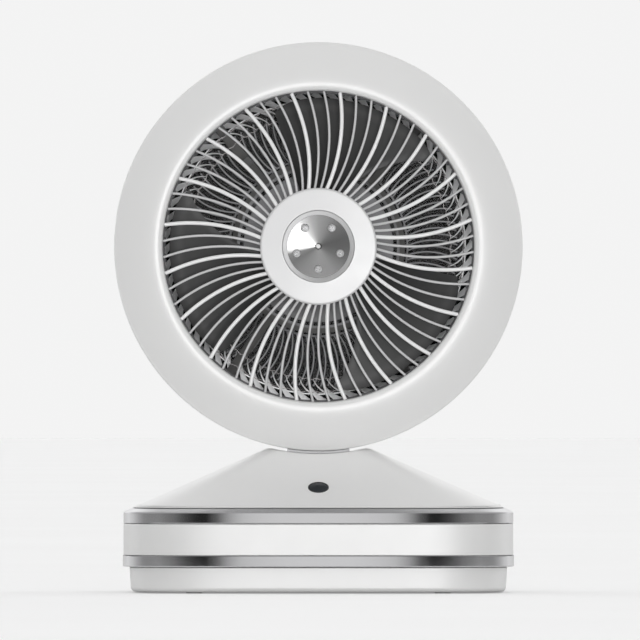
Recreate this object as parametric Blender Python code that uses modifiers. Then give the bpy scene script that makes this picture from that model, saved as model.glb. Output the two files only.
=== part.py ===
"""Round-headed floor fan with a heater, on an oscillating pyramid base.

The origin is at the bottom centre of the feet, +Z is up and the front faces -Y.
Run it with: blender --background --python part.py
"""

import math

import bmesh
import bpy
from mathutils import Matrix

MM = 0.001
SEAT_GAP = 0.3 * MM
MERGE = 0.00001

# Head: a turned housing round an air duct
HEAD_RADIUS = 155 * MM
HEAD_BOTTOM = 107.5 * MM
HEAD_WALL = 2.5 * MM
HEAD_SEGMENTS = 48
RING_WIDTH = 31.4 * MM
LIP_WIDTH = 5.6 * MM
CREST_FRONT = 52 * MM
LIP_DEPTH = 6 * MM
RIM_FRONT = 38 * MM
RIM_FILLET = 2 * MM
RIM_SPLIT = 14 * MM
LIP_BACK = 34 * MM
BACK_DEPTH = 52 * MM
BACK_OPENING_STEP = 1 * MM
BACK_RIM_CLEARANCE = 1.5 * MM
BACK_FLANGE_WIDTH = 5.5 * MM
SHELL_CURVE = 2.2
FACE_CURVE = 1.6
DUCT_WALL = 2.5 * MM

# Front grille: curved spokes between a hub disc and a rim
SPOKE_COUNT = 60
SPOKES_PER_THICK = 3
FIRST_THICK_SPOKE = 10
SPOKE_BOW = 5.4 * MM
THICK_SPOKE_WIDTH = 2.9 * MM
THIN_SPOKE_WIDTH = 1.9 * MM
SPOKE_FRONT = 46 * MM
SPOKE_DEPTH = 5 * MM
THIN_SPOKE_SET_BACK = 2 * MM
THIN_SPOKE_DEPTH = 4 * MM
GRILLE_CLEARANCE = 0.4 * MM
GRILLE_RIM_WALL = 2.4 * MM
GRILLE_RIM_FRONT = 43 * MM
GRILLE_RIM_DEPTH = 7 * MM
HUB_DISC_RADIUS = 46.5 * MM
HUB_DISC_BORE = 36 * MM
HUB_DISC_FRONT = 45.5 * MM
HUB_DISC_DEPTH = 7.5 * MM

# Hub cap with a recessed metal badge
HUB_CAP_RADIUS = 44.3 * MM
HUB_CAP_DEPTH = 3.8 * MM
HUB_RECESS_RADIUS = 27.4 * MM
HUB_RECESS_DEPTH = 2.2 * MM
BADGE_RADIUS = 23.8 * MM
BADGE_THICKNESS = 1.2 * MM
HUB_SCREW_COUNT = 5
HUB_SCREW_CIRCLE = 17.3 * MM
HUB_SCREW_RADIUS = 3.1 * MM
HUB_SCREW_HEAD = 1.2 * MM

# Impeller and motor
BLADE_COUNT = 3
BLADE_TIP_CLEARANCE = 5 * MM
BLADE_SPAN = math.radians(72)
BLADE_LEADING_ANGLE = math.radians(108)
BLADE_ROOT_SPAN = math.radians(38)
BLADE_FRONT = 33 * MM
BLADE_BACK = 11 * MM
BLADE_THICKNESS = 1.6 * MM
BLADE_CURVE = 1.3
IMPELLER_HUB_RADIUS = 34 * MM
IMPELLER_HUB_FRONT = 35.5 * MM
IMPELLER_HUB_BACK = 12 * MM
IMPELLER_HUB_WALL = 2.5 * MM
IMPELLER_HUB_SHOULDER = 4 * MM
IMPELLER_BOSS_LENGTH = 15.5 * MM
SHAFT_RADIUS = 4 * MM
SHAFT_CLEARANCE = 0.3 * MM
SHAFT_FRONT = 38 * MM
NUT_RADIUS = 7 * MM
NUT_HEIGHT = 5 * MM
MOTOR_RADIUS = 31 * MM
MOTOR_FRONT = 3.5 * MM
MOTOR_LENGTH = 48.4 * MM
MOTOR_WALL = 1.5 * MM
END_CAP_THICKNESS = 2.7 * MM
BEARING_RADIUS = 9 * MM
BEARING_LENGTH = 4 * MM
ROTOR_RADIUS = 15.8 * MM
ROTOR_LENGTH = 16 * MM
STATOR_LENGTH = 18 * MM
AIR_GAP = 0.5 * MM

# Rear grille, which also carries the motor
REAR_RIB_COUNT = 36
REAR_RIB_WIDTH = 2.2 * MM
REAR_RIB_BOW = 6 * MM
REAR_HUB_RADIUS = 68 * MM
REAR_GRILLE_THICKNESS = 3 * MM
MOTOR_CUP_WALL = 2.7 * MM
MOTOR_CUP_FRONT = -42 * MM

# Heater: ribbon rings on a frame of insulating arms
HEATER_ARM_ANGLES = (50, 130, 235, 305)
HEATER_ARM_WIDTH = 7.6 * MM
HEATER_FRAME_THICKNESS = 3 * MM
HEATER_FRAME_FRONT = -11 * MM
HEATER_INNER_RING = 62 * MM
HEATER_RING_INSETS = (17 * MM, 7 * MM)
RIBBON_THICKNESS = 0.8 * MM
RIBBON_HEIGHT = 6 * MM
CUTOUT_SIZE = 7 * MM
CUTOUT_INSET = 34 * MM

# Tilt hinge between the neck and the head
HINGE_DEPTH = 5 * MM
HINGE_INSET = 16.5 * MM
HINGE_AXLE_RADIUS = 3.7 * MM
HINGE_CLEARANCE = 0.35 * MM
BARREL_RADIUS = 11 * MM
BARREL_HALF_WIDTH = 22 * MM
NECK_HALF_WIDTH = 23.5 * MM
NECK_SHOULDER = 113 * MM
FLANGE_HALF_WIDTH = 30 * MM
FLANGE_HALF_DEPTH = 16 * MM
FLANGE_THICKNESS = 4 * MM
WASHER_RADIUS = 9 * MM
WASHER_THICKNESS = 1.7 * MM
EAR_THICKNESS = 2.5 * MM
EAR_RADIUS = 6.5 * MM
BOLT_HEAD_RADIUS = 6 * MM
BOLT_HEAD_HEIGHT = 2.5 * MM
NOTCH_CLEARANCE = 1 * MM
TILT_BACK = math.radians(20)

# Base: rounded plan sections, given as half sizes in x and y
PLAN_ROUNDNESS = 6
PLAN_POINTS = 40
BAND_HALF = (147.8 * MM, 119.5 * MM)
LOWER_BAND_STEP = 0.5 * MM
PLINTH_STEP = (4.6 * MM, 4 * MM)
PLINTH_TAPER = 0.9 * MM
PLINTH_EDGE = 3.5 * MM
PLINTH_WALL = 3.2 * MM
PLINTH_LEDGE = 3.5 * MM
TOP_HALF = (38.7 * MM, 40 * MM)
FOOT_HEIGHT = 1 * MM
PLINTH_TOP = 19.6 * MM
DECK_THICKNESS = 2.5 * MM
LOWER_BAND_BOTTOM = 20.1 * MM
LOWER_BAND_TOP = 28.4 * MM
BODY_BAND_TOP = 52.5 * MM
SLOPE_START = 61.2 * MM
UPPER_BAND_TOP = 64.1 * MM
PYRAMID_TOP = 109.5 * MM
BAND_WALL = 2 * MM
COVER_WALL = 2.5 * MM
SADDLE_GAP = 2.3 * MM

# Feet, screws and ballast in the plinth
FOOT_PLACES = ((94 * MM, 85 * MM), (-94 * MM, 85 * MM), (-94 * MM, -85 * MM), (94 * MM, -85 * MM))
FOOT_RADIUS = 6 * MM
FOOT_STEM_RADIUS = 3 * MM
FOOT_STEM_LENGTH = 4 * MM
BOTTOM_PLATE_THICKNESS = 2.5 * MM
SCREW_EDGE_DISTANCE = 20.5 * MM
SCREW_RADIUS = 1.5 * MM
SCREW_LENGTH = 10 * MM
SCREW_HEAD_RADIUS = 3.5 * MM
SCREW_HEAD_HEIGHT = 0.9 * MM
SCREW_RECESS = 1.4 * MM
SCREW_BOSS_RADIUS = 5 * MM
BALLAST_HALF = (85 * MM, 60 * MM)
BALLAST_THICKNESS = 6 * MM
GLAND_PLACE = 60 * MM
GLAND_HEIGHT = 10 * MM
GLAND_BORE = 3.3 * MM
GLAND_NECK_RADIUS = 5.7 * MM
GLAND_FLANGE_RADIUS = 7.8 * MM
GLAND_REACH = 3.5 * MM

# Oscillation drive
SLIDE_RING_RADIUS = 72 * MM
SLIDE_RING_WIDTH = 10 * MM
TURNTABLE_GAP = 2.6 * MM
TURNTABLE_THICKNESS = 3 * MM
SPINDLE_RADIUS = 7 * MM
SPINDLE_BORE = 4.5 * MM
SPINDLE_FLANGE_RADIUS = 12 * MM
SPINDLE_FLANGE = 1.4 * MM
SPINDLE_END = 1 * MM
BUSH_WALL = 2.7 * MM
BUSH_FLANGE_RADIUS = 13 * MM
BUSH_FLANGE = 2 * MM
SUN_RADIUS = 20 * MM
SUN_TEETH = 40
PINION_TEETH = 10
GEAR_BACKLASH = 0.15 * MM
GEAR_CLEARANCE = 0.5 * MM
TOOTH_TIP = 0.8
TOOTH_ROOT = 1.1
TOOTH_TIP_SHARE = 0.11
TOOTH_ROOT_SHARE = 0.30
GEAR_HEIGHT = 8 * MM
PINION_SHAFT_RADIUS = 2.5 * MM
RETAINER_THICKNESS = 1.7 * MM
RETAINER_WALL = 3.2 * MM
DRIVE_MOTOR_RADIUS = 20 * MM
DRIVE_MOTOR_HEIGHT = 16 * MM
DRIVE_MOTOR_BOTTOM = 42 * MM
DRIVE_TAB_THICKNESS = 2 * MM
DRIVE_TAB_HALF = 4 * MM
FRAME_LEG_INNER = 34 * MM
FRAME_LEG_THICKNESS = 3.5 * MM
FRAME_FOOT_WIDTH = 14 * MM
FRAME_FRONT = -16 * MM
FRAME_BACK = 32 * MM

# Controls on the slopes of the pyramid
WINDOW_HEIGHT = 80.1 * MM
WINDOW_RADIUS = 8 * MM
WINDOW_CLEARANCE = 0.3 * MM
RECEIVER_SIZE = 8 * MM
RECEIVER_THICKNESS = 5 * MM
PANEL_HEIGHT = 84 * MM
PANEL_HALF = (46 * MM, 15 * MM)
PANEL_CLEARANCE = 0.3 * MM
BUTTON_COUNT = 4
BUTTON_PITCH = 14 * MM
BUTTON_FIRST = -33 * MM
BUTTON_RADIUS = 4.6 * MM
BUTTON_CLEARANCE = 0.4 * MM
BUTTON_RISE = 1.5 * MM
BUTTON_LENGTH = 7 * MM
ROCKER_PLACE = 28 * MM
ROCKER_HALF = (6.6 * MM, 9.3 * MM)
ROCKER_THICKNESS = 3.8 * MM
ROCKER_RISE = 1.6 * MM
ROCKER_CLEARANCE = (0.4 * MM, 0.7 * MM)
BOARD_DEPTH = 8 * MM
BOARD_THICKNESS = 1.6 * MM
BOARD_HALF = (44 * MM, 13 * MM)
POST_RADIUS = 1.8 * MM
POST_PLACE = 41.5 * MM

# Heights and slopes that follow from the sizes above
HEAD_HEIGHT = HEAD_BOTTOM + HEAD_RADIUS
HINGE_HEIGHT = HEAD_BOTTOM + HINGE_INSET
CREST_RADIUS = HEAD_RADIUS - RING_WIDTH
OPENING_RADIUS = CREST_RADIUS - LIP_WIDTH
BACK_OPENING_RADIUS = OPENING_RADIUS + BACK_OPENING_STEP
BACK_FLANGE_RADIUS = BACK_OPENING_RADIUS - BACK_FLANGE_WIDTH
BLADE_TIP_RADIUS = OPENING_RADIUS - BLADE_TIP_CLEARANCE
HEATER_RING_RADII = tuple(OPENING_RADIUS - amount for amount in HEATER_RING_INSETS)
LOWER_BAND_HALF = tuple(half + LOWER_BAND_STEP for half in BAND_HALF)
PLINTH_HALF = tuple(half - step for half, step in zip(BAND_HALF, PLINTH_STEP))
SADDLE_RADIUS = HEAD_RADIUS + SADDLE_GAP
SLOPE_RISE = PYRAMID_TOP - SLOPE_START
FRONT_SLOPE = math.atan2(SLOPE_RISE, BAND_HALF[1] - TOP_HALF[1])
TURNTABLE_BOTTOM = PLINTH_TOP + TURNTABLE_GAP
TURNTABLE_TOP = TURNTABLE_BOTTOM + TURNTABLE_THICKNESS
BOTTOM_PLATE_TOP = FOOT_HEIGHT + BOTTOM_PLATE_THICKNESS
BUSH_TOP = TURNTABLE_TOP + SEAT_GAP + BUSH_FLANGE
GEAR_BOTTOM = BUSH_TOP + GEAR_CLEARANCE
GEAR_TOP = GEAR_BOTTOM + GEAR_HEIGHT
GEAR_MODULE = 2 * SUN_RADIUS / SUN_TEETH
GEAR_CENTRES = GEAR_MODULE * (SUN_TEETH + PINION_TEETH) / 2 + GEAR_BACKLASH
SPINDLE_TOP = GEAR_TOP + SEAT_GAP + RETAINER_THICKNESS + SPINDLE_END
FLANGE_TOP = HEAD_HEIGHT - SADDLE_RADIUS - COVER_WALL - SEAT_GAP
FRAME_TOP = FLANGE_TOP - FLANGE_THICKNESS - SEAT_GAP
DUCT_INNER = OPENING_RADIUS
DUCT_OUTER = DUCT_INNER + DUCT_WALL
GRILLE_RIM_OUTER = OPENING_RADIUS - GRILLE_CLEARANCE
SCREW_DEPTH_PLACE = PLINTH_HALF[1] - SCREW_EDGE_DISTANCE
CUTOUT_RADIUS = OPENING_RADIUS - CUTOUT_INSET
REAR_RIM_RADIUS = BACK_OPENING_RADIUS - BACK_RIM_CLEARANCE
REAR_GRILLE_BACK = -BACK_DEPTH + HEAD_WALL + SEAT_GAP
REAR_GRILLE_FRONT = REAR_GRILLE_BACK + REAR_GRILLE_THICKNESS
MOTOR_BACK = MOTOR_FRONT - MOTOR_LENGTH
HUB_CAP_BACK = HUB_DISC_FRONT + SEAT_GAP
HUB_CAP_FRONT = HUB_CAP_BACK + HUB_CAP_DEPTH
RECESS_FLOOR = HUB_CAP_FRONT - HUB_RECESS_DEPTH
BADGE_FRONT = RECESS_FLOOR + SEAT_GAP + BADGE_THICKNESS
AXLE_BORE = HINGE_AXLE_RADIUS + HINGE_CLEARANCE
EAR_INNER = BARREL_HALF_WIDTH + WASHER_THICKNESS + 2 * SEAT_GAP
EAR_OUTER = EAR_INNER + EAR_THICKNESS


for old in list(bpy.data.objects):
    bpy.data.objects.remove(old)
fan_parts = bpy.data.collections.new("floor_fan")
cutters = bpy.data.collections.new("cutters")
bpy.context.scene.collection.children.link(fan_parts)
bpy.context.scene.collection.children.link(cutters)


def make_material(name, colour, roughness, metallic=0.0):
    made = bpy.data.materials.new(name)
    made.use_nodes = True
    shader = made.node_tree.nodes["Principled BSDF"]
    shader.inputs["Base Color"].default_value = (*colour, 1.0)
    shader.inputs["Roughness"].default_value = roughness
    shader.inputs["Metallic"].default_value = metallic
    return made


FINISHES = {
    "white": ((0.86, 0.86, 0.85), 0.22, 0.0),
    "grey": ((0.40, 0.40, 0.41), 0.45, 0.0),
    "dark": ((0.05, 0.05, 0.05), 0.40, 0.0),
    "chrome": ((0.80, 0.80, 0.82), 0.08, 1.0),
    "steel": ((0.55, 0.55, 0.57), 0.30, 1.0),
    "aluminium": ((0.77, 0.77, 0.78), 0.25, 1.0),
    "brass": ((0.78, 0.57, 0.25), 0.30, 1.0),
    "rubber": ((0.03, 0.03, 0.03), 0.80, 0.0),
    "mica": ((0.10, 0.09, 0.08), 0.70, 0.0),
    "board": ((0.05, 0.22, 0.10), 0.50, 0.0),
    "smoke": ((0.04, 0.05, 0.06), 0.10, 0.0),
}


def finish_object(made, finish, parent, cutter):
    """Put a new object in its collection, with its own material and parent."""
    if cutter:
        cutters.objects.link(made)
        made.hide_render = True
        made.display_type = "WIRE"
    else:
        fan_parts.objects.link(made)
        made.data.materials.append(make_material(made.name, *FINISHES[finish]))
    made.parent = parent
    return made


def axis_empty(name, location, rotation=(0.0, 0.0, 0.0), parent=None):
    made = bpy.data.objects.new(name, None)
    made.location = location
    made.rotation_euler = rotation
    made.parent = parent
    fan_parts.objects.link(made)
    return made


def mesh_object(name, shape, finish="grey", parent=None, cutter=False):
    bmesh.ops.recalc_face_normals(shape, faces=shape.faces)
    data = bpy.data.meshes.new(name)
    shape.to_mesh(data)
    shape.free()
    data.shade_smooth()
    data.set_sharp_from_angle(angle=math.radians(35))
    return finish_object(bpy.data.objects.new(name, data), finish, parent, cutter)


def box(name, low, high, **kept):
    """A box from its low corner to its high corner."""
    size = [b - a for a, b in zip(low, high)]
    centre = [(a + b) / 2 for a, b in zip(low, high)]
    shape = bmesh.new()
    place = Matrix.Translation(centre) @ Matrix.Diagonal((*size, 1.0))
    bmesh.ops.create_cube(shape, size=1.0, matrix=place)
    return mesh_object(name, shape, **kept)


def rod(name, radius, low, high, centre=(0.0, 0.0), segments=24, turn=None, **kept):
    """A cylinder along its own z axis, from low to high, then turned by a matrix."""
    shape = bmesh.new()
    place = Matrix.Translation((centre[0], centre[1], (low + high) / 2))
    bmesh.ops.create_cone(
        shape,
        cap_ends=True,
        segments=segments,
        radius1=radius,
        radius2=radius,
        depth=high - low,
        matrix=(turn or Matrix.Identity(4)) @ place,
    )
    return mesh_object(name, shape, **kept)


def turned(name, profiles, segments=32, finish="grey", parent=None, cutter=False, rings=True):
    """Profiles of (radius, height) turned about z. Each ring runs down its outer side."""
    shape = bmesh.new()
    for profile in profiles:
        points = [shape.verts.new((radius, 0.0, height)) for radius, height in profile]
        for first, second in zip(points, points[1:]):
            shape.edges.new((first, second))
        if rings:
            shape.edges.new((points[-1], points[0]))
    data = bpy.data.meshes.new(name)
    shape.to_mesh(data)
    shape.free()
    made = finish_object(bpy.data.objects.new(name, data), finish, parent, cutter)
    screw = made.modifiers.new("turn", "SCREW")
    screw.steps = segments
    screw.render_steps = segments
    screw.use_merge_vertices = True
    screw.merge_threshold = MERGE
    screw.use_smooth_shade = True
    return made


def tube_profile(inner, outer, low, high):
    return [(outer, high), (outer, low), (inner, low), (inner, high)]


def combine(target, other, operation="DIFFERENCE"):
    step = target.modifiers.new(operation.lower(), "BOOLEAN")
    step.operation = operation
    step.object = other
    step.solver = "EXACT"
    return target


def plan_section(half, height):
    """A rounded plan outline at one height, from its half sizes in x and y."""
    points = []
    for step in range(PLAN_POINTS):
        angle = 2 * math.pi * step / PLAN_POINTS
        across, along = math.cos(angle), math.sin(angle)
        x = math.copysign(abs(across) ** (2 / PLAN_ROUNDNESS), across) * half[0]
        y = math.copysign(abs(along) ** (2 / PLAN_ROUNDNESS), along) * half[1]
        points.append((x, y, height))
    return points


def plan_depth(half, across):
    """How far the rounded plan reaches in y at a distance across."""
    return half[1] * (1 - abs(across / half[0]) ** PLAN_ROUNDNESS) ** (1 / PLAN_ROUNDNESS)


def inset(half, amount):
    return (half[0] - amount, half[1] - amount)


def add_loft(shape, sections, closed=False):
    """Faces between sections of equal point counts, capped unless it closes on itself."""
    rows = [[shape.verts.new(point) for point in section] for section in sections]
    pairs = list(zip(rows, rows[1:]))
    if closed:
        pairs.append((rows[-1], rows[0]))
    for lower, upper in pairs:
        count = len(lower)
        for index in range(count):
            after = (index + 1) % count
            shape.faces.new((lower[index], lower[after], upper[after], upper[index]))
    if not closed:
        shape.faces.new(rows[0])
        shape.faces.new(rows[-1])


def loft(name, sections, closed=False, **kept):
    shape = bmesh.new()
    add_loft(shape, sections, closed)
    return mesh_object(name, shape, **kept)


def pyramid_half(height, wall=0.0):
    """Half sizes of the pyramid at a height, less a wall measured across."""
    share = (height - SLOPE_START) / SLOPE_RISE
    return tuple(low + (top - low) * share - wall for low, top in zip(BAND_HALF, TOP_HALF))


# Joint axes, which also place the pieces that turn about them
turret_axis = axis_empty("turret_axis", (0.0, 0.0, 0.0))
tilt_axis = axis_empty("tilt_axis", (0.0, HINGE_DEPTH, HINGE_HEIGHT), parent=turret_axis)
head_centre = axis_empty(
    "head_centre",
    (0.0, -HINGE_DEPTH, HEAD_HEIGHT - HINGE_HEIGHT),
    (math.pi / 2, 0.0, 0.0),
    tilt_axis,
)
spin_axis = axis_empty("spin_axis", (0.0, 0.0, 0.0), parent=head_centre)
pinion_axis = axis_empty("pinion_axis", (0.0, GEAR_CENTRES, 0.0), parent=turret_axis)


def slope_place(height, side):
    """A point on the middle of the front (-1) or rear (1) slope, and its tilt about x."""
    return (0.0, side * pyramid_half(height)[1], height), (-side * FRONT_SLOPE, 0.0, 0.0)


window_frame = axis_empty("window_frame", *slope_place(WINDOW_HEIGHT, -1), turret_axis)
panel_frame = axis_empty("panel_frame", *slope_place(PANEL_HEIGHT, 1), turret_axis)


# Plinth
def make_plinth():
    inner = inset(PLINTH_HALF, PLINTH_WALL)
    lip = inset(inner, PLINTH_LEDGE)
    low = inset(PLINTH_HALF, PLINTH_TAPER)
    deck_bottom = PLINTH_TOP - DECK_THICKNESS
    sections = [
        plan_section(inner, deck_bottom),
        plan_section(inner, FOOT_HEIGHT + 2 * PLINTH_LEDGE),
        plan_section(lip, FOOT_HEIGHT + PLINTH_LEDGE),
        plan_section(lip, FOOT_HEIGHT),
    ]
    for angle in (90, 45, 0):
        turn = math.radians(angle)
        edge = inset(low, PLINTH_EDGE * (1 - math.cos(turn)))
        sections.append(plan_section(edge, FOOT_HEIGHT + PLINTH_EDGE * (1 - math.sin(turn))))
    sections.append(plan_section(PLINTH_HALF, PLINTH_TOP))
    plinth = loft("plinth_shell", sections, finish="white")
    boss_low = BOTTOM_PLATE_TOP + SEAT_GAP
    bore = SCREW_RADIUS + SEAT_GAP
    for side in (-1, 1):
        place = (0.0, side * SCREW_DEPTH_PLACE)
        boss = rod(
            f"boss_{side}", SCREW_BOSS_RADIUS, boss_low, PLINTH_TOP - SEAT_GAP, place, 16, cutter=True
        )
        combine(plinth, boss, "UNION")
        hole_top = BOTTOM_PLATE_TOP + SCREW_LENGTH
        hole = rod(f"boss_bore_{side}", bore, 0.0, hole_top, place, 12, cutter=True)
        combine(plinth, hole)
    along_y = Matrix.Translation((GLAND_PLACE, 0.0, GLAND_HEIGHT)) @ Matrix.Rotation(-math.pi / 2, 4, "X")
    gland_hole = rod(
        "gland_hole",
        GLAND_NECK_RADIUS + SEAT_GAP,
        PLINTH_HALF[1] - 3 * PLINTH_WALL,
        PLINTH_HALF[1] + PLINTH_WALL,
        segments=16,
        turn=along_y,
        cutter=True,
    )
    combine(plinth, gland_hole)


def make_bottom_plate():
    lip = inset(PLINTH_HALF, PLINTH_WALL + PLINTH_LEDGE + SEAT_GAP)
    sections = [plan_section(lip, FOOT_HEIGHT), plan_section(lip, BOTTOM_PLATE_TOP)]
    plate = loft("bottom_plate", sections, finish="grey")
    below, above = 0.0, BOTTOM_PLATE_TOP + FOOT_HEIGHT
    for number, place in enumerate(FOOT_PLACES, 1):
        hole = rod(
            f"foot_hole_{number}", FOOT_STEM_RADIUS + SEAT_GAP, below, above, place, 12, cutter=True
        )
        combine(plate, hole)
    recess_top = FOOT_HEIGHT + SCREW_RECESS
    profile = [
        (0.0, above),
        (SCREW_RADIUS + SEAT_GAP, above),
        (SCREW_RADIUS + SEAT_GAP, recess_top),
        (SCREW_HEAD_RADIUS + SEAT_GAP, recess_top),
        (SCREW_HEAD_RADIUS + SEAT_GAP, below),
        (0.0, below),
    ]
    for side in (-1, 1):
        hole = turned(f"screw_recess_{side}", [profile], 16, cutter=True, rings=False)
        hole.location = (0.0, side * SCREW_DEPTH_PLACE, 0.0)
        combine(plate, hole)


def make_feet_and_screws():
    stem_top = FOOT_HEIGHT + FOOT_STEM_LENGTH
    foot_top = FOOT_HEIGHT - SEAT_GAP
    foot = [
        (0.0, stem_top),
        (FOOT_STEM_RADIUS, stem_top),
        (FOOT_STEM_RADIUS, foot_top),
        (FOOT_RADIUS, foot_top),
        (FOOT_RADIUS, 0.0),
        (0.0, 0.0),
    ]
    for number, place in enumerate(FOOT_PLACES, 1):
        made = turned(f"foot_{number}", [foot], 16, "rubber", rings=False)
        made.location = (*place, 0.0)
    head_top = FOOT_HEIGHT + SCREW_RECESS - SEAT_GAP
    screw = [
        (0.0, head_top + SCREW_LENGTH),
        (SCREW_RADIUS, head_top + SCREW_LENGTH),
        (SCREW_RADIUS, head_top),
        (SCREW_HEAD_RADIUS, head_top),
        (SCREW_HEAD_RADIUS, head_top - SCREW_HEAD_HEIGHT),
        (0.0, head_top - SCREW_HEAD_HEIGHT),
    ]
    for number, side in enumerate((-1, 1), 1):
        made = turned(f"base_screw_{number}", [screw], 12, "steel", rings=False)
        made.location = (0.0, side * SCREW_DEPTH_PLACE, 0.0)


def make_ballast_and_gland():
    low = BOTTOM_PLATE_TOP + SEAT_GAP
    box(
        "ballast_plate",
        (-BALLAST_HALF[0], -BALLAST_HALF[1], low),
        (BALLAST_HALF[0], BALLAST_HALF[1], low + BALLAST_THICKNESS),
        finish="steel",
    )
    face = plan_depth(PLINTH_HALF, GLAND_PLACE) + SEAT_GAP
    back = face + GLAND_REACH
    front = face - 2 * PLINTH_WALL
    profile = [
        (GLAND_NECK_RADIUS, back),
        (GLAND_FLANGE_RADIUS, (face + back) / 2),
        (GLAND_FLANGE_RADIUS, face),
        (GLAND_NECK_RADIUS, face),
        (GLAND_NECK_RADIUS, front),
        (GLAND_BORE, front),
        (GLAND_BORE, back),
    ]
    gland = turned("cord_gland", [profile], 16, "rubber")
    gland.rotation_euler = (-math.pi / 2, 0.0, 0.0)
    gland.location = (GLAND_PLACE, 0.0, GLAND_HEIGHT)


# Oscillation drive
def gear_outline(teeth):
    """Points round a gear of straight-sided teeth, with a tooth centred on x."""
    pitch_radius = GEAR_MODULE * teeth / 2
    pitch_angle = 2 * math.pi / teeth
    tip, root = pitch_radius + TOOTH_TIP * GEAR_MODULE, pitch_radius - TOOTH_ROOT * GEAR_MODULE
    flanks = (
        (-TOOTH_ROOT_SHARE, root),
        (-TOOTH_TIP_SHARE, tip),
        (TOOTH_TIP_SHARE, tip),
        (TOOTH_ROOT_SHARE, root),
    )
    points = []
    for tooth in range(teeth):
        middle = tooth * pitch_angle
        for share, radius in flanks:
            angle = middle + share * pitch_angle
            points.append((radius * math.cos(angle), radius * math.sin(angle)))
    return points


def gear(name, teeth, low, high, **kept):
    outline = gear_outline(teeth)
    sections = [[(x, y, height) for x, y in outline] for height in (low, high)]
    return loft(name, sections, **kept)


def make_drive():
    ring = tube_profile(
        SLIDE_RING_RADIUS - SLIDE_RING_WIDTH,
        SLIDE_RING_RADIUS,
        PLINTH_TOP + SEAT_GAP,
        TURNTABLE_BOTTOM - SEAT_GAP,
    )
    turned("slide_ring", [ring], 28, "white")
    spindle_low = PLINTH_TOP + SEAT_GAP
    flange_top = spindle_low + SPINDLE_FLANGE
    spindle = [
        (SPINDLE_RADIUS, SPINDLE_TOP),
        (SPINDLE_RADIUS, flange_top),
        (SPINDLE_FLANGE_RADIUS, flange_top),
        (SPINDLE_FLANGE_RADIUS, spindle_low),
        (SPINDLE_BORE, spindle_low),
        (SPINDLE_BORE, SPINDLE_TOP),
    ]
    turned("pivot_spindle", [spindle], 24, "steel")
    sun = gear("fixed_gear", SUN_TEETH, GEAR_BOTTOM, GEAR_TOP, finish="white")
    bore = rod("sun_bore", SPINDLE_RADIUS + SEAT_GAP, 0.0, 2 * GEAR_TOP, segments=24, cutter=True)
    combine(sun, bore)
    inner = SPINDLE_RADIUS + SEAT_GAP
    retainer_low = GEAR_TOP + SEAT_GAP
    retainer = tube_profile(inner, inner + RETAINER_WALL, retainer_low, retainer_low + RETAINER_THICKNESS)
    turned("retaining_ring", [retainer], 24, "steel")
    pinion = gear(
        "pinion", PINION_TEETH, GEAR_BOTTOM + SEAT_GAP, GEAR_TOP, finish="white", parent=pinion_axis
    )
    pinion.rotation_euler = (0.0, 0.0, math.pi / 2 + math.pi / PINION_TEETH)
    shaft_top = DRIVE_MOTOR_BOTTOM - SEAT_GAP
    shaft = rod(
        "pinion_shaft", PINION_SHAFT_RADIUS, GEAR_TOP - SEAT_GAP, shaft_top,
        segments=12, parent=pinion_axis, cutter=True,
    )
    combine(pinion, shaft, "UNION")


def make_turntable():
    half = inset(LOWER_BAND_HALF, BAND_WALL + SEAT_GAP)
    sections = [plan_section(half, TURNTABLE_BOTTOM), plan_section(half, TURNTABLE_TOP)]
    plate = loft("turntable_plate", sections, finish="white", parent=turret_axis)
    inner = SPINDLE_RADIUS + SEAT_GAP
    outer = inner + BUSH_WALL
    bore = rod(
        "bush_seat", outer + SEAT_GAP, 0.0, 2 * TURNTABLE_TOP, segments=24, parent=turret_axis, cutter=True
    )
    combine(plate, bore)
    bush_low = PLINTH_TOP + 2 * SEAT_GAP + SPINDLE_FLANGE
    flange_low = BUSH_TOP - BUSH_FLANGE
    bush = [
        (BUSH_FLANGE_RADIUS, BUSH_TOP),
        (BUSH_FLANGE_RADIUS, flange_low),
        (outer, flange_low),
        (outer, bush_low),
        (inner, bush_low),
        (inner, BUSH_TOP),
    ]
    turned("pivot_bush", [bush], 24, "brass", turret_axis)


def make_support_frame():
    """A bridge of sheet steel that carries the neck and the drive motor."""
    low = TURNTABLE_TOP + SEAT_GAP
    outer = FRAME_LEG_INNER + FRAME_LEG_THICKNESS
    toe = FRAME_LEG_INNER + FRAME_FOOT_WIDTH
    sole = low + FRAME_LEG_THICKNESS
    ceiling = FRAME_TOP - FRAME_LEG_THICKNESS
    right = [(FRAME_LEG_INNER, ceiling), (FRAME_LEG_INNER, low), (toe, low), (toe, sole),
             (outer, sole), (outer, FRAME_TOP)]
    left = [(-x, z) for x, z in reversed(right)]
    curve = bpy.data.curves.new("support_frame", "CURVE")
    curve.dimensions = "2D"
    curve.fill_mode = "BOTH"
    curve.extrude = (FRAME_BACK - FRAME_FRONT) / 2
    outline = curve.splines.new("POLY")
    outline.points.add(len(right + left) - 1)
    for point, (x, z) in zip(outline.points, right + left):
        point.co = (x, z, 0.0, 1.0)
    outline.use_cyclic_u = True
    frame = finish_object(bpy.data.objects.new("support_frame", curve), "steel", turret_axis, False)
    frame.rotation_euler = (math.pi / 2, 0.0, 0.0)
    frame.location = (0.0, (FRAME_FRONT + FRAME_BACK) / 2, 0.0)


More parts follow.
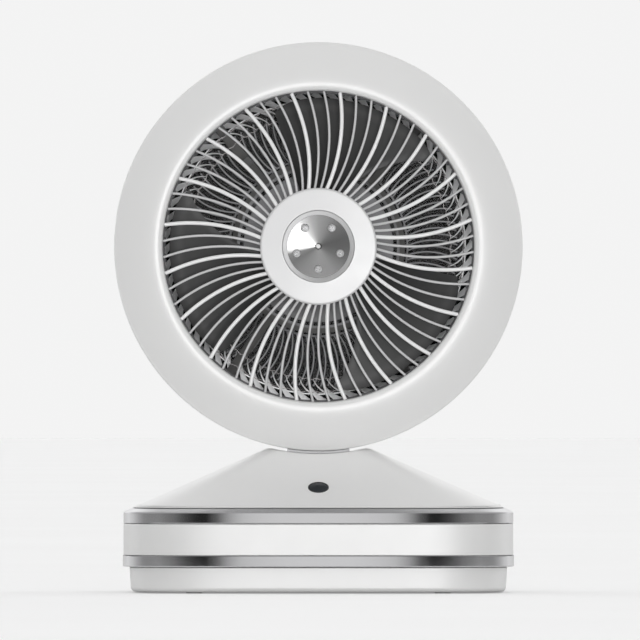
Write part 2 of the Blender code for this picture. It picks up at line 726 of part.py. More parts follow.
def make_drive_motor():
    top = DRIVE_MOTOR_BOTTOM + DRIVE_MOTOR_HEIGHT
    motor = rod(
        "oscillation_motor", DRIVE_MOTOR_RADIUS, DRIVE_MOTOR_BOTTOM, top,
        (0.0, GEAR_CENTRES), 32, finish="steel", parent=turret_axis,
    )
    reach = FRAME_LEG_INNER - SEAT_GAP
    tabs = box(
        "motor_tabs",
        (-reach, GEAR_CENTRES - DRIVE_TAB_HALF, DRIVE_MOTOR_BOTTOM + SEAT_GAP),
        (reach, GEAR_CENTRES + DRIVE_TAB_HALF, DRIVE_MOTOR_BOTTOM + DRIVE_TAB_THICKNESS),
        parent=turret_axis,
        cutter=True,
    )
    combine(motor, tabs, "UNION")


# Bands and cover of the turret
def make_bands():
    def band(name, outer, wall, low, high, finish):
        inner = inset(outer, wall)
        rows = [plan_section(outer, low), plan_section(outer, high),
                plan_section(inner, high), plan_section(inner, low)]
        loft(name, rows, closed=True, finish=finish, parent=turret_axis)

    band("lower_trim_band", LOWER_BAND_HALF, BAND_WALL, LOWER_BAND_BOTTOM, LOWER_BAND_TOP, "chrome")
    band("body_band", BAND_HALF, COVER_WALL, LOWER_BAND_TOP + SEAT_GAP, BODY_BAND_TOP, "white")
    low = BODY_BAND_TOP + SEAT_GAP
    rows = [
        plan_section(BAND_HALF, low),
        plan_section(BAND_HALF, SLOPE_START),
        plan_section(pyramid_half(UPPER_BAND_TOP), UPPER_BAND_TOP),
        plan_section(pyramid_half(UPPER_BAND_TOP, 2 * BAND_WALL), UPPER_BAND_TOP),
        plan_section(inset(BAND_HALF, 2 * BAND_WALL), SLOPE_START - BAND_WALL),
        plan_section(inset(BAND_HALF, 2 * BAND_WALL), low),
    ]
    loft("upper_trim_band", rows, closed=True, finish="chrome", parent=turret_axis)


def saddle_cutter(name, radius):
    """A cylinder round the head's own axis, which hollows the top of the pyramid."""
    along_y = Matrix.Translation((0.0, 0.0, HEAD_HEIGHT)) @ Matrix.Rotation(math.pi / 2, 4, "X")
    reach = BAND_HALF[1]
    return rod(name, radius, -reach, reach, segments=96, turn=along_y, parent=turret_axis, cutter=True)


def make_cover():
    low = UPPER_BAND_TOP + SEAT_GAP
    outer = [plan_section(pyramid_half(low), low), plan_section(pyramid_half(PYRAMID_TOP), PYRAMID_TOP)]
    cover = loft("pyramid_cover", outer, finish="white", parent=turret_axis)
    across = COVER_WALL / math.sin(FRONT_SLOPE)
    under = low - COVER_WALL
    hollow = loft(
        "cover_hollow",
        [plan_section(pyramid_half(height, across), height) for height in (under, PYRAMID_TOP)],
        parent=turret_axis,
        cutter=True,
    )
    combine(hollow, saddle_cutter("inner_saddle", SADDLE_RADIUS + COVER_WALL))
    combine(cover, hollow)
    combine(cover, saddle_cutter("outer_saddle", SADDLE_RADIUS))
    neck_hole = box(
        "neck_hole",
        (-NECK_HALF_WIDTH - SEAT_GAP, HINGE_DEPTH - BARREL_RADIUS - SEAT_GAP, FRAME_TOP),
        (NECK_HALF_WIDTH + SEAT_GAP, HINGE_DEPTH + BARREL_RADIUS + SEAT_GAP, HINGE_HEIGHT),
        parent=turret_axis,
        cutter=True,
    )
    combine(cover, neck_hole)
    reach = 2 * COVER_WALL
    window_hole = rod(
        "window_hole", WINDOW_RADIUS, -reach, reach, segments=24, parent=window_frame, cutter=True
    )
    combine(cover, window_hole)
    panel_hole = box(
        "panel_hole",
        (-PANEL_HALF[0] - PANEL_CLEARANCE, -PANEL_HALF[1] - PANEL_CLEARANCE, -reach),
        (PANEL_HALF[0] + PANEL_CLEARANCE, PANEL_HALF[1] + PANEL_CLEARANCE, reach),
        parent=panel_frame,
        cutter=True,
    )
    combine(cover, panel_hole)


# Controls
def make_window():
    radius = WINDOW_RADIUS - WINDOW_CLEARANCE
    rod("ir_window", radius, -COVER_WALL, 0.0, segments=24, finish="smoke", parent=window_frame)
    half = RECEIVER_SIZE / 2
    top = -COVER_WALL - SEAT_GAP
    box(
        "ir_receiver",
        (-half, -half, top - RECEIVER_THICKNESS),
        (half, half, top),
        finish="dark",
        parent=window_frame,
    )


def make_panel():
    panel = box(
        "control_panel",
        (-PANEL_HALF[0], -PANEL_HALF[1], -COVER_WALL),
        (PANEL_HALF[0], PANEL_HALF[1], 0.0),
        finish="grey",
        parent=panel_frame,
    )
    board_top = -BOARD_DEPTH
    for side in (-1, 1):
        post = rod(
            f"post_{side}", POST_RADIUS, board_top + SEAT_GAP, -COVER_WALL / 2,
            (side * POST_PLACE, 0.0), 12, parent=panel_frame, cutter=True,
        )
        combine(panel, post, "UNION")
    hole_radius = BUTTON_RADIUS + BUTTON_CLEARANCE
    for number in range(BUTTON_COUNT):
        place = BUTTON_FIRST + number * BUTTON_PITCH
        hole = rod(
            f"button_hole_{number}", hole_radius, -2 * COVER_WALL, COVER_WALL,
            (place, 0.0), 20, parent=panel_frame, cutter=True,
        )
        combine(panel, hole)
        profile = [
            (0.0, BUTTON_RISE),
            (0.8 * BUTTON_RADIUS, BUTTON_RISE),
            (BUTTON_RADIUS, 0.6 * BUTTON_RISE),
            (BUTTON_RADIUS, BUTTON_RISE - BUTTON_LENGTH),
            (0.0, BUTTON_RISE - BUTTON_LENGTH),
        ]
        button = turned(f"button_{number + 1}", [profile], 20, "grey", panel_frame, rings=False)
        button.location = (place, 0.0, 0.0)
    half_x, half_y = (half + gap for half, gap in zip(ROCKER_HALF, ROCKER_CLEARANCE))
    rocker_hole = box(
        "rocker_hole",
        (ROCKER_PLACE - half_x, -half_y, -2 * COVER_WALL),
        (ROCKER_PLACE + half_x, half_y, COVER_WALL),
        parent=panel_frame,
        cutter=True,
    )
    combine(panel, rocker_hole)
    rocker = box(
        "power_switch",
        (-ROCKER_HALF[0], -ROCKER_HALF[1], ROCKER_RISE - ROCKER_THICKNESS),
        (ROCKER_HALF[0], ROCKER_HALF[1], ROCKER_RISE),
        finish="dark",
        parent=panel_frame,
    )
    rocker.location = (ROCKER_PLACE, 0.0, 0.0)
    box(
        "control_board",
        (-BOARD_HALF[0], -BOARD_HALF[1], board_top - BOARD_THICKNESS),
        (BOARD_HALF[0], BOARD_HALF[1], board_top),
        finish="board",
        parent=panel_frame,
    )


# Neck and tilt hinge
def hinge_turn():
    """From a rod's own z axis to the hinge's x axis, at the hinge."""
    place = Matrix.Translation((0.0, HINGE_DEPTH, HINGE_HEIGHT))
    return place @ Matrix.Rotation(math.pi / 2, 4, "Y")


def make_neck():
    front, back = HINGE_DEPTH - BARREL_RADIUS, HINGE_DEPTH + BARREL_RADIUS
    flange_low = FLANGE_TOP - FLANGE_THICKNESS
    neck = box(
        "neck",
        (-NECK_HALF_WIDTH, front, flange_low + SEAT_GAP),
        (NECK_HALF_WIDTH, back, NECK_SHOULDER),
        finish="grey",
        parent=turret_axis,
    )
    upper = box(
        "neck_upper",
        (-BARREL_HALF_WIDTH, front, FLANGE_TOP + SEAT_GAP),
        (BARREL_HALF_WIDTH, back, HINGE_HEIGHT),
        parent=turret_axis,
        cutter=True,
    )
    barrel = rod(
        "neck_barrel", BARREL_RADIUS, -BARREL_HALF_WIDTH, BARREL_HALF_WIDTH,
        segments=24, turn=hinge_turn(), parent=turret_axis, cutter=True,
    )
    flange = box(
        "neck_flange",
        (-FLANGE_HALF_WIDTH, HINGE_DEPTH - FLANGE_HALF_DEPTH, flange_low),
        (FLANGE_HALF_WIDTH, HINGE_DEPTH + FLANGE_HALF_DEPTH, FLANGE_TOP),
        parent=turret_axis,
        cutter=True,
    )
    bore = rod(
        "neck_bore", AXLE_BORE, -EAR_OUTER, EAR_OUTER,
        segments=16, turn=hinge_turn(), parent=turret_axis, cutter=True,
    )
    combine(neck, upper, "UNION")
    combine(neck, barrel, "UNION")
    combine(neck, flange, "UNION")
    combine(neck, bore)


def make_tilt_hinge():
    """A bracket on the duct, the bolt through it and a friction washer at each side."""
    web_top = HEAD_HEIGHT - DUCT_OUTER - SEAT_GAP
    ear_low = HINGE_HEIGHT - EAR_RADIUS
    front, back = HINGE_DEPTH - EAR_RADIUS, HINGE_DEPTH + EAR_RADIUS
    bracket = box(
        "tilt_bracket", (-EAR_OUTER, front, ear_low), (EAR_OUTER, back, web_top), finish="steel"
    )
    inside = box(
        "bracket_inside",
        (-EAR_INNER, 2 * front, ear_low - EAR_RADIUS),
        (EAR_INNER, 2 * back, web_top - EAR_THICKNESS),
        cutter=True,
    )
    bore = rod(
        "bracket_bore", AXLE_BORE, -2 * EAR_OUTER, 2 * EAR_OUTER, segments=16, turn=hinge_turn(), cutter=True
    )
    combine(bracket, inside)
    combine(bracket, bore)
    bolt_end = EAR_OUTER + SEAT_GAP + BOLT_HEAD_HEIGHT
    head_face = EAR_OUTER + SEAT_GAP
    bolt_profile = [
        (0.0, bolt_end),
        (BOLT_HEAD_RADIUS, bolt_end),
        (BOLT_HEAD_RADIUS, head_face),
        (HINGE_AXLE_RADIUS, head_face),
        (HINGE_AXLE_RADIUS, -bolt_end),
        (0.0, -bolt_end),
    ]
    bolt = turned("hinge_bolt", [bolt_profile], 16, "steel", rings=False)
    seat = BARREL_HALF_WIDTH + SEAT_GAP
    washers = []
    for number, low in enumerate((-seat - WASHER_THICKNESS, seat), 1):
        ring = tube_profile(AXLE_BORE, WASHER_RADIUS, low, low + WASHER_THICKNESS)
        washers.append(turned(f"friction_washer_{number}", [ring], 20, "rubber"))
    for made in (bolt, *washers):
        made.parent = tilt_axis
        made.rotation_euler = (0.0, math.pi / 2, 0.0)
    to_tilt = Matrix.Translation((0.0, -HINGE_DEPTH, -HINGE_HEIGHT))
    for made in (bracket, inside, bore):
        made.data.transform(to_tilt)
        made.parent = tilt_axis


# Head housing
def face_height(radius):
    """The front of the ring, which falls away from its crest to the rim."""
    share = (radius - CREST_RADIUS) / (HEAD_RADIUS - RIM_FILLET - CREST_RADIUS)
    drop = CREST_FRONT - RIM_FRONT - RIM_FILLET
    return CREST_FRONT - drop * max(share, 0.0) ** FACE_CURVE


def make_front_ring():
    outer = []
    for step in range(4):
        turn = math.radians(30 * step)
        radius = CREST_RADIUS - LIP_WIDTH * math.cos(turn)
        outer.append((radius, CREST_FRONT - LIP_DEPTH * (1 - math.sin(turn))))
    slope_width = HEAD_RADIUS - RIM_FILLET - CREST_RADIUS
    slope = [CREST_RADIUS + slope_width * step / 4 for step in range(1, 5)]
    outer += [(radius, face_height(radius)) for radius in slope]
    corner = RIM_FILLET * (1 - math.sqrt(0.5))
    outer.append((HEAD_RADIUS - corner, RIM_FRONT + RIM_FILLET - corner))
    outer.append((HEAD_RADIUS, RIM_FRONT))
    outer.append((HEAD_RADIUS, RIM_SPLIT))
    inner_rim = HEAD_RADIUS - HEAD_WALL
    inner = [(inner_rim, RIM_SPLIT), (inner_rim, face_height(inner_rim) - HEAD_WALL)]
    inner += [(radius, face_height(radius) - HEAD_WALL) for radius in (slope[1], CREST_RADIUS)]
    lip_inner = OPENING_RADIUS + HEAD_WALL
    inner += [(lip_inner, CREST_FRONT - LIP_DEPTH), (lip_inner, LIP_BACK), (OPENING_RADIUS, LIP_BACK)]
    turned("front_ring", [outer + inner], HEAD_SEGMENTS, "white", head_centre)


def shell_radius(height):
    """Outer radius of the rear shell, which closes in towards the back."""
    share = (RIM_SPLIT - height) / (RIM_SPLIT + BACK_DEPTH)
    return HEAD_RADIUS - (HEAD_RADIUS - BACK_OPENING_RADIUS) * share**SHELL_CURVE


def make_rear_shell():
    front = RIM_SPLIT - SEAT_GAP
    steps = 6
    heights = [front - (front + BACK_DEPTH) * step / steps for step in range(steps + 1)]
    outer = [(shell_radius(height), height) for height in heights]
    flange = [
        (BACK_FLANGE_RADIUS, -BACK_DEPTH),
        (BACK_FLANGE_RADIUS, -BACK_DEPTH + HEAD_WALL),
        (BACK_OPENING_RADIUS, -BACK_DEPTH + HEAD_WALL),
    ]
    inner = [(shell_radius(height) - HEAD_WALL, height) for height in heights[1:steps]]
    inner = flange + inner[::-1] + [(HEAD_RADIUS - HEAD_WALL, front)]
    shell = turned("rear_shell", [outer + inner], HEAD_SEGMENTS, "white", head_centre)
    swing = (HINGE_HEIGHT - FLANGE_TOP) * math.sin(TILT_BACK)
    reach = BARREL_RADIUS + NOTCH_CLEARANCE
    notch = box(
        "neck_notch",
        (-NECK_HALF_WIDTH - NOTCH_CLEARANCE, -reach, HEAD_BOTTOM - HINGE_HEIGHT - HEAD_WALL),
        (NECK_HALF_WIDTH + NOTCH_CLEARANCE, reach + swing, 0.0),
        parent=tilt_axis,
        cutter=True,
    )
    combine(shell, notch)


def make_duct():
    back = -BACK_DEPTH + 2 * HEAD_WALL + 4 * SEAT_GAP
    ring = tube_profile(DUCT_INNER, DUCT_OUTER, back, LIP_BACK - SEAT_GAP)
    turned("air_duct", [ring], HEAD_SEGMENTS, "grey", head_centre)


# Grilles
def bar_sections(angle, inner, outer, bow, width, low, high, steps):
    """Sections of a bowed bar from one radius to another. A positive bow bends it clockwise."""
    along = (math.cos(angle), math.sin(angle))
    side = (math.sin(angle), -math.cos(angle))
    sections = []
    for step in range(steps + 1):
        share = step / steps
        radius = inner + (outer - inner) * share
        offset = 4 * bow * share * (1 - share)
        slant = 4 * bow * (1 - 2 * share) / (outer - inner)
        length = math.hypot(1.0, slant)
        half_side, half_along = width / 2 / length, -slant * width / 2 / length
        section = []
        for sign, height in ((-1, low), (1, low), (1, high), (-1, high)):
            reach = radius + sign * half_along
            shift = offset + sign * half_side
            x = along[0] * reach + side[0] * shift
            y = along[1] * reach + side[1] * shift
            section.append((x, y, height))
        sections.append(section)
    return sections


def make_front_grille():
    rim_back = GRILLE_RIM_FRONT - GRILLE_RIM_DEPTH
    rim_inner = GRILLE_RIM_OUTER - GRILLE_RIM_WALL
    disc_back = HUB_DISC_FRONT - HUB_DISC_DEPTH
    rings = [
        tube_profile(rim_inner, GRILLE_RIM_OUTER, rim_back, GRILLE_RIM_FRONT),
        tube_profile(HUB_DISC_BORE, HUB_DISC_RADIUS, disc_back, HUB_DISC_FRONT),
    ]
    grille = turned("front_grille", rings, HEAD_SEGMENTS, "white", head_centre)
    inner = HUB_CAP_RADIUS + 3 * SEAT_GAP
    outer = GRILLE_RIM_OUTER - GRILLE_RIM_WALL / 2
    shape = bmesh.new()
    for number in range(SPOKE_COUNT):
        angle = math.radians(FIRST_THICK_SPOKE + number * 360 / SPOKE_COUNT)
        thick = number % SPOKES_PER_THICK == 0
        width = THICK_SPOKE_WIDTH if thick else THIN_SPOKE_WIDTH
        high = SPOKE_FRONT if thick else SPOKE_FRONT - THIN_SPOKE_SET_BACK
        low = high - (SPOKE_DEPTH if thick else THIN_SPOKE_DEPTH)
        add_loft(shape, bar_sections(angle, inner, outer, SPOKE_BOW, width, low, high, 3))
    spokes = mesh_object("front_spokes", shape, parent=head_centre, cutter=True)
    combine(grille, spokes, "UNION")


def make_rear_grille():
    cup_inner = MOTOR_RADIUS + SEAT_GAP
    cup_outer = cup_inner + MOTOR_CUP_WALL
    cup_floor = MOTOR_BACK - SEAT_GAP
    hub = [
        (SHAFT_RADIUS, cup_floor),
        (cup_inner, cup_floor),
        (cup_inner, MOTOR_CUP_FRONT),
        (cup_outer, MOTOR_CUP_FRONT),
        (cup_outer, REAR_GRILLE_FRONT),
        (REAR_HUB_RADIUS, REAR_GRILLE_FRONT),
        (REAR_HUB_RADIUS, REAR_GRILLE_BACK),
        (SHAFT_RADIUS, REAR_GRILLE_BACK),
    ]
    rim_inner = REAR_RIM_RADIUS - GRILLE_RIM_WALL
    rim = tube_profile(rim_inner, REAR_RIM_RADIUS, REAR_GRILLE_BACK, REAR_GRILLE_FRONT)
    grille = turned("rear_grille", [hub, rim], 48, "grey", head_centre)
    shape = bmesh.new()
    low, high = REAR_GRILLE_BACK + SEAT_GAP, REAR_GRILLE_FRONT - SEAT_GAP
    inner, outer = REAR_HUB_RADIUS - REAR_RIB_WIDTH, REAR_RIM_RADIUS - GRILLE_RIM_WALL / 2
    for number in range(REAR_RIB_COUNT):
        angle = 2 * math.pi * number / REAR_RIB_COUNT
        add_loft(shape, bar_sections(angle, inner, outer, -REAR_RIB_BOW, REAR_RIB_WIDTH, low, high, 2))
    ribs = mesh_object("rear_ribs", shape, parent=head_centre, cutter=True)
    combine(grille, ribs, "UNION")


# Hub cap, badge and screws
def make_hub():
    edge = HUB_CAP_DEPTH / 4
    cap = [
        (0.0, RECESS_FLOOR),
        (HUB_RECESS_RADIUS, RECESS_FLOOR),
        (HUB_RECESS_RADIUS, HUB_CAP_FRONT),
        (HUB_CAP_RADIUS - edge, HUB_CAP_FRONT),
        (HUB_CAP_RADIUS, HUB_CAP_FRONT - edge),
        (HUB_CAP_RADIUS, HUB_CAP_BACK),
        (0.0, HUB_CAP_BACK),
    ]
    turned("hub_cap", [cap], 48, "white", head_centre, rings=False)
    low = RECESS_FLOOR + SEAT_GAP
    rod("hub_badge", BADGE_RADIUS, low, BADGE_FRONT, segments=40, finish="aluminium", parent=head_centre)
    screw_low = BADGE_FRONT + SEAT_GAP
    screw = [
        (0.0, screw_low + HUB_SCREW_HEAD),
        (0.7 * HUB_SCREW_RADIUS, screw_low + HUB_SCREW_HEAD),
        (HUB_SCREW_RADIUS, screw_low + HUB_SCREW_HEAD / 2),
        (HUB_SCREW_RADIUS, screw_low),
        (0.0, screw_low),
    ]
    for number in range(HUB_SCREW_COUNT):
        angle = -math.pi / 2 + 2 * math.pi * number / HUB_SCREW_COUNT
        made = turned(f"hub_screw_{number + 1}", [screw], 14, "steel", head_centre, rings=False)
        made.location = (HUB_SCREW_CIRCLE * math.cos(angle), HUB_SCREW_CIRCLE * math.sin(angle), 0.0)


# Motor and impeller
def make_motor():
    bore = SHAFT_RADIUS + SHAFT_CLEARANCE
    inside = MOTOR_RADIUS - MOTOR_WALL
    floor = MOTOR_BACK + MOTOR_WALL
    can = [(MOTOR_RADIUS, MOTOR_FRONT), (MOTOR_RADIUS, MOTOR_BACK), (bore, MOTOR_BACK),
           (bore, floor), (inside, floor), (inside, MOTOR_FRONT)]
    turned("motor_can", [can], 32, "steel", head_centre)
    cap_low = MOTOR_FRONT + SEAT_GAP
    seat = BEARING_RADIUS + SEAT_GAP
    cap = tube_profile(seat, MOTOR_RADIUS, cap_low, cap_low + END_CAP_THICKNESS)
    turned("motor_end_cap", [cap], 32, "aluminium", head_centre)
    bearing = tube_profile(bore, BEARING_RADIUS, cap_low, cap_low + BEARING_LENGTH)
    turned("motor_bearing", [bearing], 20, "brass", head_centre)
    middle = (floor + MOTOR_FRONT) / 2
    stator = tube_profile(
        ROTOR_RADIUS + AIR_GAP, inside - SEAT_GAP, middle - STATOR_LENGTH / 2, middle + STATOR_LENGTH / 2
    )
    turned("stator", [stator], 32, "steel", head_centre)
    shaft = [
        (0.0, SHAFT_FRONT),
        (SHAFT_RADIUS, SHAFT_FRONT),
        (SHAFT_RADIUS, middle + ROTOR_LENGTH / 2),
        (ROTOR_RADIUS, middle + ROTOR_LENGTH / 2),
        (ROTOR_RADIUS, middle - ROTOR_LENGTH / 2),
        (SHAFT_RADIUS, middle - ROTOR_LENGTH / 2),
        (SHAFT_RADIUS, MOTOR_BACK + SEAT_GAP),
        (0.0, MOTOR_BACK + SEAT_GAP),
    ]
    turned("motor_shaft", [shaft], 20, "steel", spin_axis, rings=False)


def blade_grid(shape, turn):
    """A twisted blade as an open sheet. Its leading edge lies behind its trailing edge."""
    rows, columns = 4, 6
    inner = IMPELLER_HUB_RADIUS - IMPELLER_HUB_WALL / 2
    grid = []
    for row in range(rows + 1):
        share = row / rows
        radius = inner + (BLADE_TIP_RADIUS - inner) * share
        span = BLADE_ROOT_SPAN + (BLADE_SPAN - BLADE_ROOT_SPAN) * share
        line = []
        for column in range(columns + 1):
            back = column / columns
            angle = turn + BLADE_LEADING_ANGLE - span * (1 - back)
            height = BLADE_FRONT - (BLADE_FRONT - BLADE_BACK) * back**BLADE_CURVE
            place = (radius * math.cos(angle), radius * math.sin(angle), height - BLADE_THICKNESS * share)
            line.append(shape.verts.new(place))
        grid.append(line)
    for lower, upper in zip(grid, grid[1:]):
        for index in range(columns):
            shape.faces.new((lower[index], upper[index], upper[index + 1], lower[index + 1]))


def make_impeller():
    bore = SHAFT_RADIUS + SEAT_GAP
    wall = IMPELLER_HUB_WALL
    shoulder = IMPELLER_HUB_RADIUS - IMPELLER_HUB_SHOULDER
    shoulder_back = IMPELLER_HUB_FRONT - IMPELLER_HUB_SHOULDER
    boss_back = IMPELLER_HUB_FRONT - IMPELLER_BOSS_LENGTH
    hub = [
        (shoulder, IMPELLER_HUB_FRONT),
        (IMPELLER_HUB_RADIUS, shoulder_back),
        (IMPELLER_HUB_RADIUS, IMPELLER_HUB_BACK),
        (IMPELLER_HUB_RADIUS - wall, IMPELLER_HUB_BACK),
        (IMPELLER_HUB_RADIUS - wall, shoulder_back - wall / 2),
        (shoulder - wall, IMPELLER_HUB_FRONT - wall),
        (2 * SHAFT_RADIUS, IMPELLER_HUB_FRONT - wall),
        (2 * SHAFT_RADIUS, boss_back),
        (bore, boss_back),
        (bore, IMPELLER_HUB_FRONT),
    ]
    impeller = turned("impeller", [hub], 32, "dark", spin_axis)
    shape = bmesh.new()
    for number in range(BLADE_COUNT):
        blade_grid(shape, 2 * math.pi * number / BLADE_COUNT)
    blades = mesh_object("blades", shape, parent=spin_axis, cutter=True)
    thicken = blades.modifiers.new("thickness", "SOLIDIFY")
    thicken.thickness = BLADE_THICKNESS
    thicken.offset = 0.0
    combine(impeller, blades, "UNION")
    low = IMPELLER_HUB_FRONT + SEAT_GAP
    nut = rod("spinner_nut", NUT_RADIUS, low, low + NUT_HEIGHT, segments=6, finish="brass", parent=spin_axis)
    nut_bore = rod("nut_bore", bore, 0.0, 2 * low, segments=16, parent=spin_axis, cutter=True)
    combine(nut, nut_bore)


# Heater
def make_heater():
    front = HEATER_FRAME_FRONT
    back = front - HEATER_FRAME_THICKNESS
    inner_ring = tube_profile(HEATER_INNER_RING, HEATER_INNER_RING + HEATER_ARM_WIDTH / 2, back, front)
    frame = turned("heater_frame", [inner_ring], 32, "mica", head_centre)
    shape = bmesh.new()
    inner, outer = HEATER_INNER_RING + RIBBON_THICKNESS, DUCT_INNER - 2 * SEAT_GAP
    for degrees in HEATER_ARM_ANGLES:
        angle = math.radians(degrees)
        low, high = back + SEAT_GAP, front - SEAT_GAP
        add_loft(shape, bar_sections(angle, inner, outer, 0.0, HEATER_ARM_WIDTH, low, high, 1))
    arms = mesh_object("heater_arms", shape, parent=head_centre, cutter=True)
    combine(frame, arms, "UNION")
    for name, radius in zip(("heater_ring_inner", "heater_ring_outer"), HEATER_RING_RADII):
        ribbon = tube_profile(radius - RIBBON_THICKNESS, radius, front, front + RIBBON_HEIGHT)
        turned(name, [ribbon], 32, "steel", head_centre)
    half = CUTOUT_SIZE / 2
    cutout = box(
        "thermal_cutout", (CUTOUT_RADIUS - half, -half, front),
        (CUTOUT_RADIUS + half, half, front + CUTOUT_SIZE), finish="white", parent=head_centre,
    )
    cutout.rotation_euler = (0.0, 0.0, math.radians(HEATER_ARM_ANGLES[1]))


make_plinth()
make_bottom_plate()
make_feet_and_screws()
make_ballast_and_gland()
make_drive()
make_turntable()
make_support_frame()
make_drive_motor()
make_bands()
make_cover()
make_window()
make_panel()
make_neck()
make_tilt_hinge()
make_front_ring()
make_rear_shell()
make_duct()
make_front_grille()
make_rear_grille()
make_hub()
make_motor()
make_impeller()
make_heater()
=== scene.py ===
"""Looks of the floor fan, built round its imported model."""

import math

import bmesh
import bpy
from mathutils import Matrix, Vector


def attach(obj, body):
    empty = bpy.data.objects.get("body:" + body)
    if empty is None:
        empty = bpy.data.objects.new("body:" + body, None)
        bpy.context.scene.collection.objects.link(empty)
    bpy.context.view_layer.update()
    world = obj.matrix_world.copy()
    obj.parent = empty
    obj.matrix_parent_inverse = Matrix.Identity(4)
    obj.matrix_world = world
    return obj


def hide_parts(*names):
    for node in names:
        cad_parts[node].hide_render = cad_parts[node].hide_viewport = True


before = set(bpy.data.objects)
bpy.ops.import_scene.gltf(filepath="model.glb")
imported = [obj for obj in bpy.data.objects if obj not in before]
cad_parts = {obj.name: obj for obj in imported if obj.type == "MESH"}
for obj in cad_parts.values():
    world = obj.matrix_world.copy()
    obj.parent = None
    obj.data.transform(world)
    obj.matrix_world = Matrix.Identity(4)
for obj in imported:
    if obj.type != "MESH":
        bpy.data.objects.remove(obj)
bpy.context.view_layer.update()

MM = 0.001
HEAD_HEIGHT = 262.5 * MM
PLAN_ROUNDNESS = 6
PLAN_STEPS = 288
BAND_HALF = (147.8 * MM, 119.5 * MM)
TOP_HALF = (38.7 * MM, 40 * MM)
SLOPE_START = 61.2 * MM
PYRAMID_TOP = 109.5 * MM
SADDLE_RADIUS = 157.3 * MM

# From the head's own axes, z forward, to the row frame
HEAD_PLACE = (0.0, 0.0, HEAD_HEIGHT)
FORWARD = Matrix.Rotation(math.pi / 2, 4, "X")
HEAD_TURN = Matrix.Translation(HEAD_PLACE) @ FORWARD


# Building pieces
def mm(*corners):
    """Corners given in millimetres, in metres."""
    return [tuple(value * MM for value in corner) for corner in corners]


def polar(radius, angle):
    return (radius * math.cos(angle), radius * math.sin(angle))


def mirrored(pairs):
    """Pairs on both sides of a middle, from those that go outwards on one side."""
    return [(-place, value) for place, value in pairs[::-1]] + list(pairs)


def finish_piece(name, shape, material, body, slot, nodes=(), sharp=35, place=None, at=None):
    """An object of a bmesh, with its material, riding on a body and standing for nodes."""
    bmesh.ops.remove_doubles(shape, verts=shape.verts, dist=0.000002)
    bmesh.ops.recalc_face_normals(shape, faces=shape.faces)
    if place is not None:
        bmesh.ops.transform(shape, matrix=place, verts=shape.verts)
    data = bpy.data.meshes.new(name)
    shape.to_mesh(data)
    shape.free()
    data.shade_smooth()
    data.set_sharp_from_angle(angle=math.radians(sharp))
    data.materials.append(material)
    piece = bpy.data.objects.new(name, data)
    bpy.context.scene.collection.objects.link(piece)
    if at is not None:
        piece.location = at
    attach(piece, body)
    if nodes:
        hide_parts(*nodes)
    return piece


ARC_STEPS = 5


def soft_path(corners, closed=True):
    """A path through (x, y, fillet radius) corners, with each corner rounded by an arc."""
    path = []
    count = len(corners)
    for index, (x, y, radius) in enumerate(corners):
        corner = Vector((x, y))
        if radius == 0 or (not closed and index in (0, count - 1)):
            path.append((x, y))
            continue
        before = Vector(corners[index - 1][:2]) - corner
        after = Vector(corners[(index + 1) % count][:2]) - corner
        room = 0.49 * min(before.length, after.length)
        before.normalize()
        after.normalize()
        half = math.acos(max(-1.0, min(1.0, before.dot(after)))) / 2
        if half > math.radians(88):
            path.append((x, y))
            continue
        reach = min(radius / math.tan(half), room)
        radius = reach * math.tan(half)
        middle = (before + after).normalized()
        centre = corner + middle * (radius / math.sin(half))
        start = corner + before * reach - centre
        end = corner + after * reach - centre
        sweep = start.angle_signed(end)
        for step in range(ARC_STEPS + 1):
            turn = Matrix.Rotation(-sweep * step / ARC_STEPS, 2)
            path.append(tuple(centre + turn @ start))
    return path


def add_turned(shape, profile, segments=160, closed=True):
    """Turn a path of (radius, height) about z."""
    rows = []
    for radius, height in profile:
        row = []
        for step in range(segments if radius > 0.000001 else 1):
            angle = 2 * math.pi * step / segments
            row.append(shape.verts.new((*polar(radius, angle), height)))
        rows.append(row)
    pairs = list(zip(rows, rows[1:]))
    if closed:
        pairs.append((rows[-1], rows[0]))
    for first, second in pairs:
        if len(first) + len(second) == 2:
            continue
        for step in range(segments):
            spots = ((first, step), (second, step), (second, step + 1), (first, step + 1))
            shape.faces.new(tuple(dict.fromkeys(row[place % len(row)] for row, place in spots)))


def braced(path, closed, long=1.4 * MM, reach=0.25 * MM):
    """A path with a point added just inside each end of its long steps, which keeps their shading even."""
    made = []
    points = [Vector(point) for point in path]
    for index, point in enumerate(points):
        made.append(tuple(point))
        if index == len(points) - 1 and not closed:
            break
        step = points[(index + 1) % len(points)] - point
        if step.length > long:
            inward = step.normalized() * reach
            made += [tuple(point + inward), tuple(point + step - inward)]
    return made


def turned_piece(name, profile, *finish, segments=160, place=HEAD_TURN, **kept):
    """A piece turned from a path of (radius, height), which closes itself unless it begins on the axis."""
    closed = profile[0][0] > 0
    shape = bmesh.new()
    add_turned(shape, braced(profile, closed), segments, closed)
    return finish_piece(name, shape, *finish, place=place, **kept)


def soft_piece(name, corners, *finish, **kept):
    """A turned piece from (radius, height, fillet radius) corners in millimetres."""
    return turned_piece(name, soft_path(mm(*corners), corners[0][0] > 0), *finish, **kept)


def add_loft(shape, sections, closed=False, capped=True):
    """Join sections of points, of equal counts, by faces."""
    rows = [[shape.verts.new(point) for point in section] for section in sections]
    pairs = list(zip(rows, rows[1:]))
    if closed:
        pairs.append((rows[-1], rows[0]))
    for lower, upper in pairs:
        count = len(lower)
        for index in range(count):
            after = (index + 1) % count
            shape.faces.new((lower[index], lower[after], upper[after], upper[index]))
    if capped and not closed:
        shape.faces.new(rows[0][::-1])
        shape.faces.new(rows[-1])


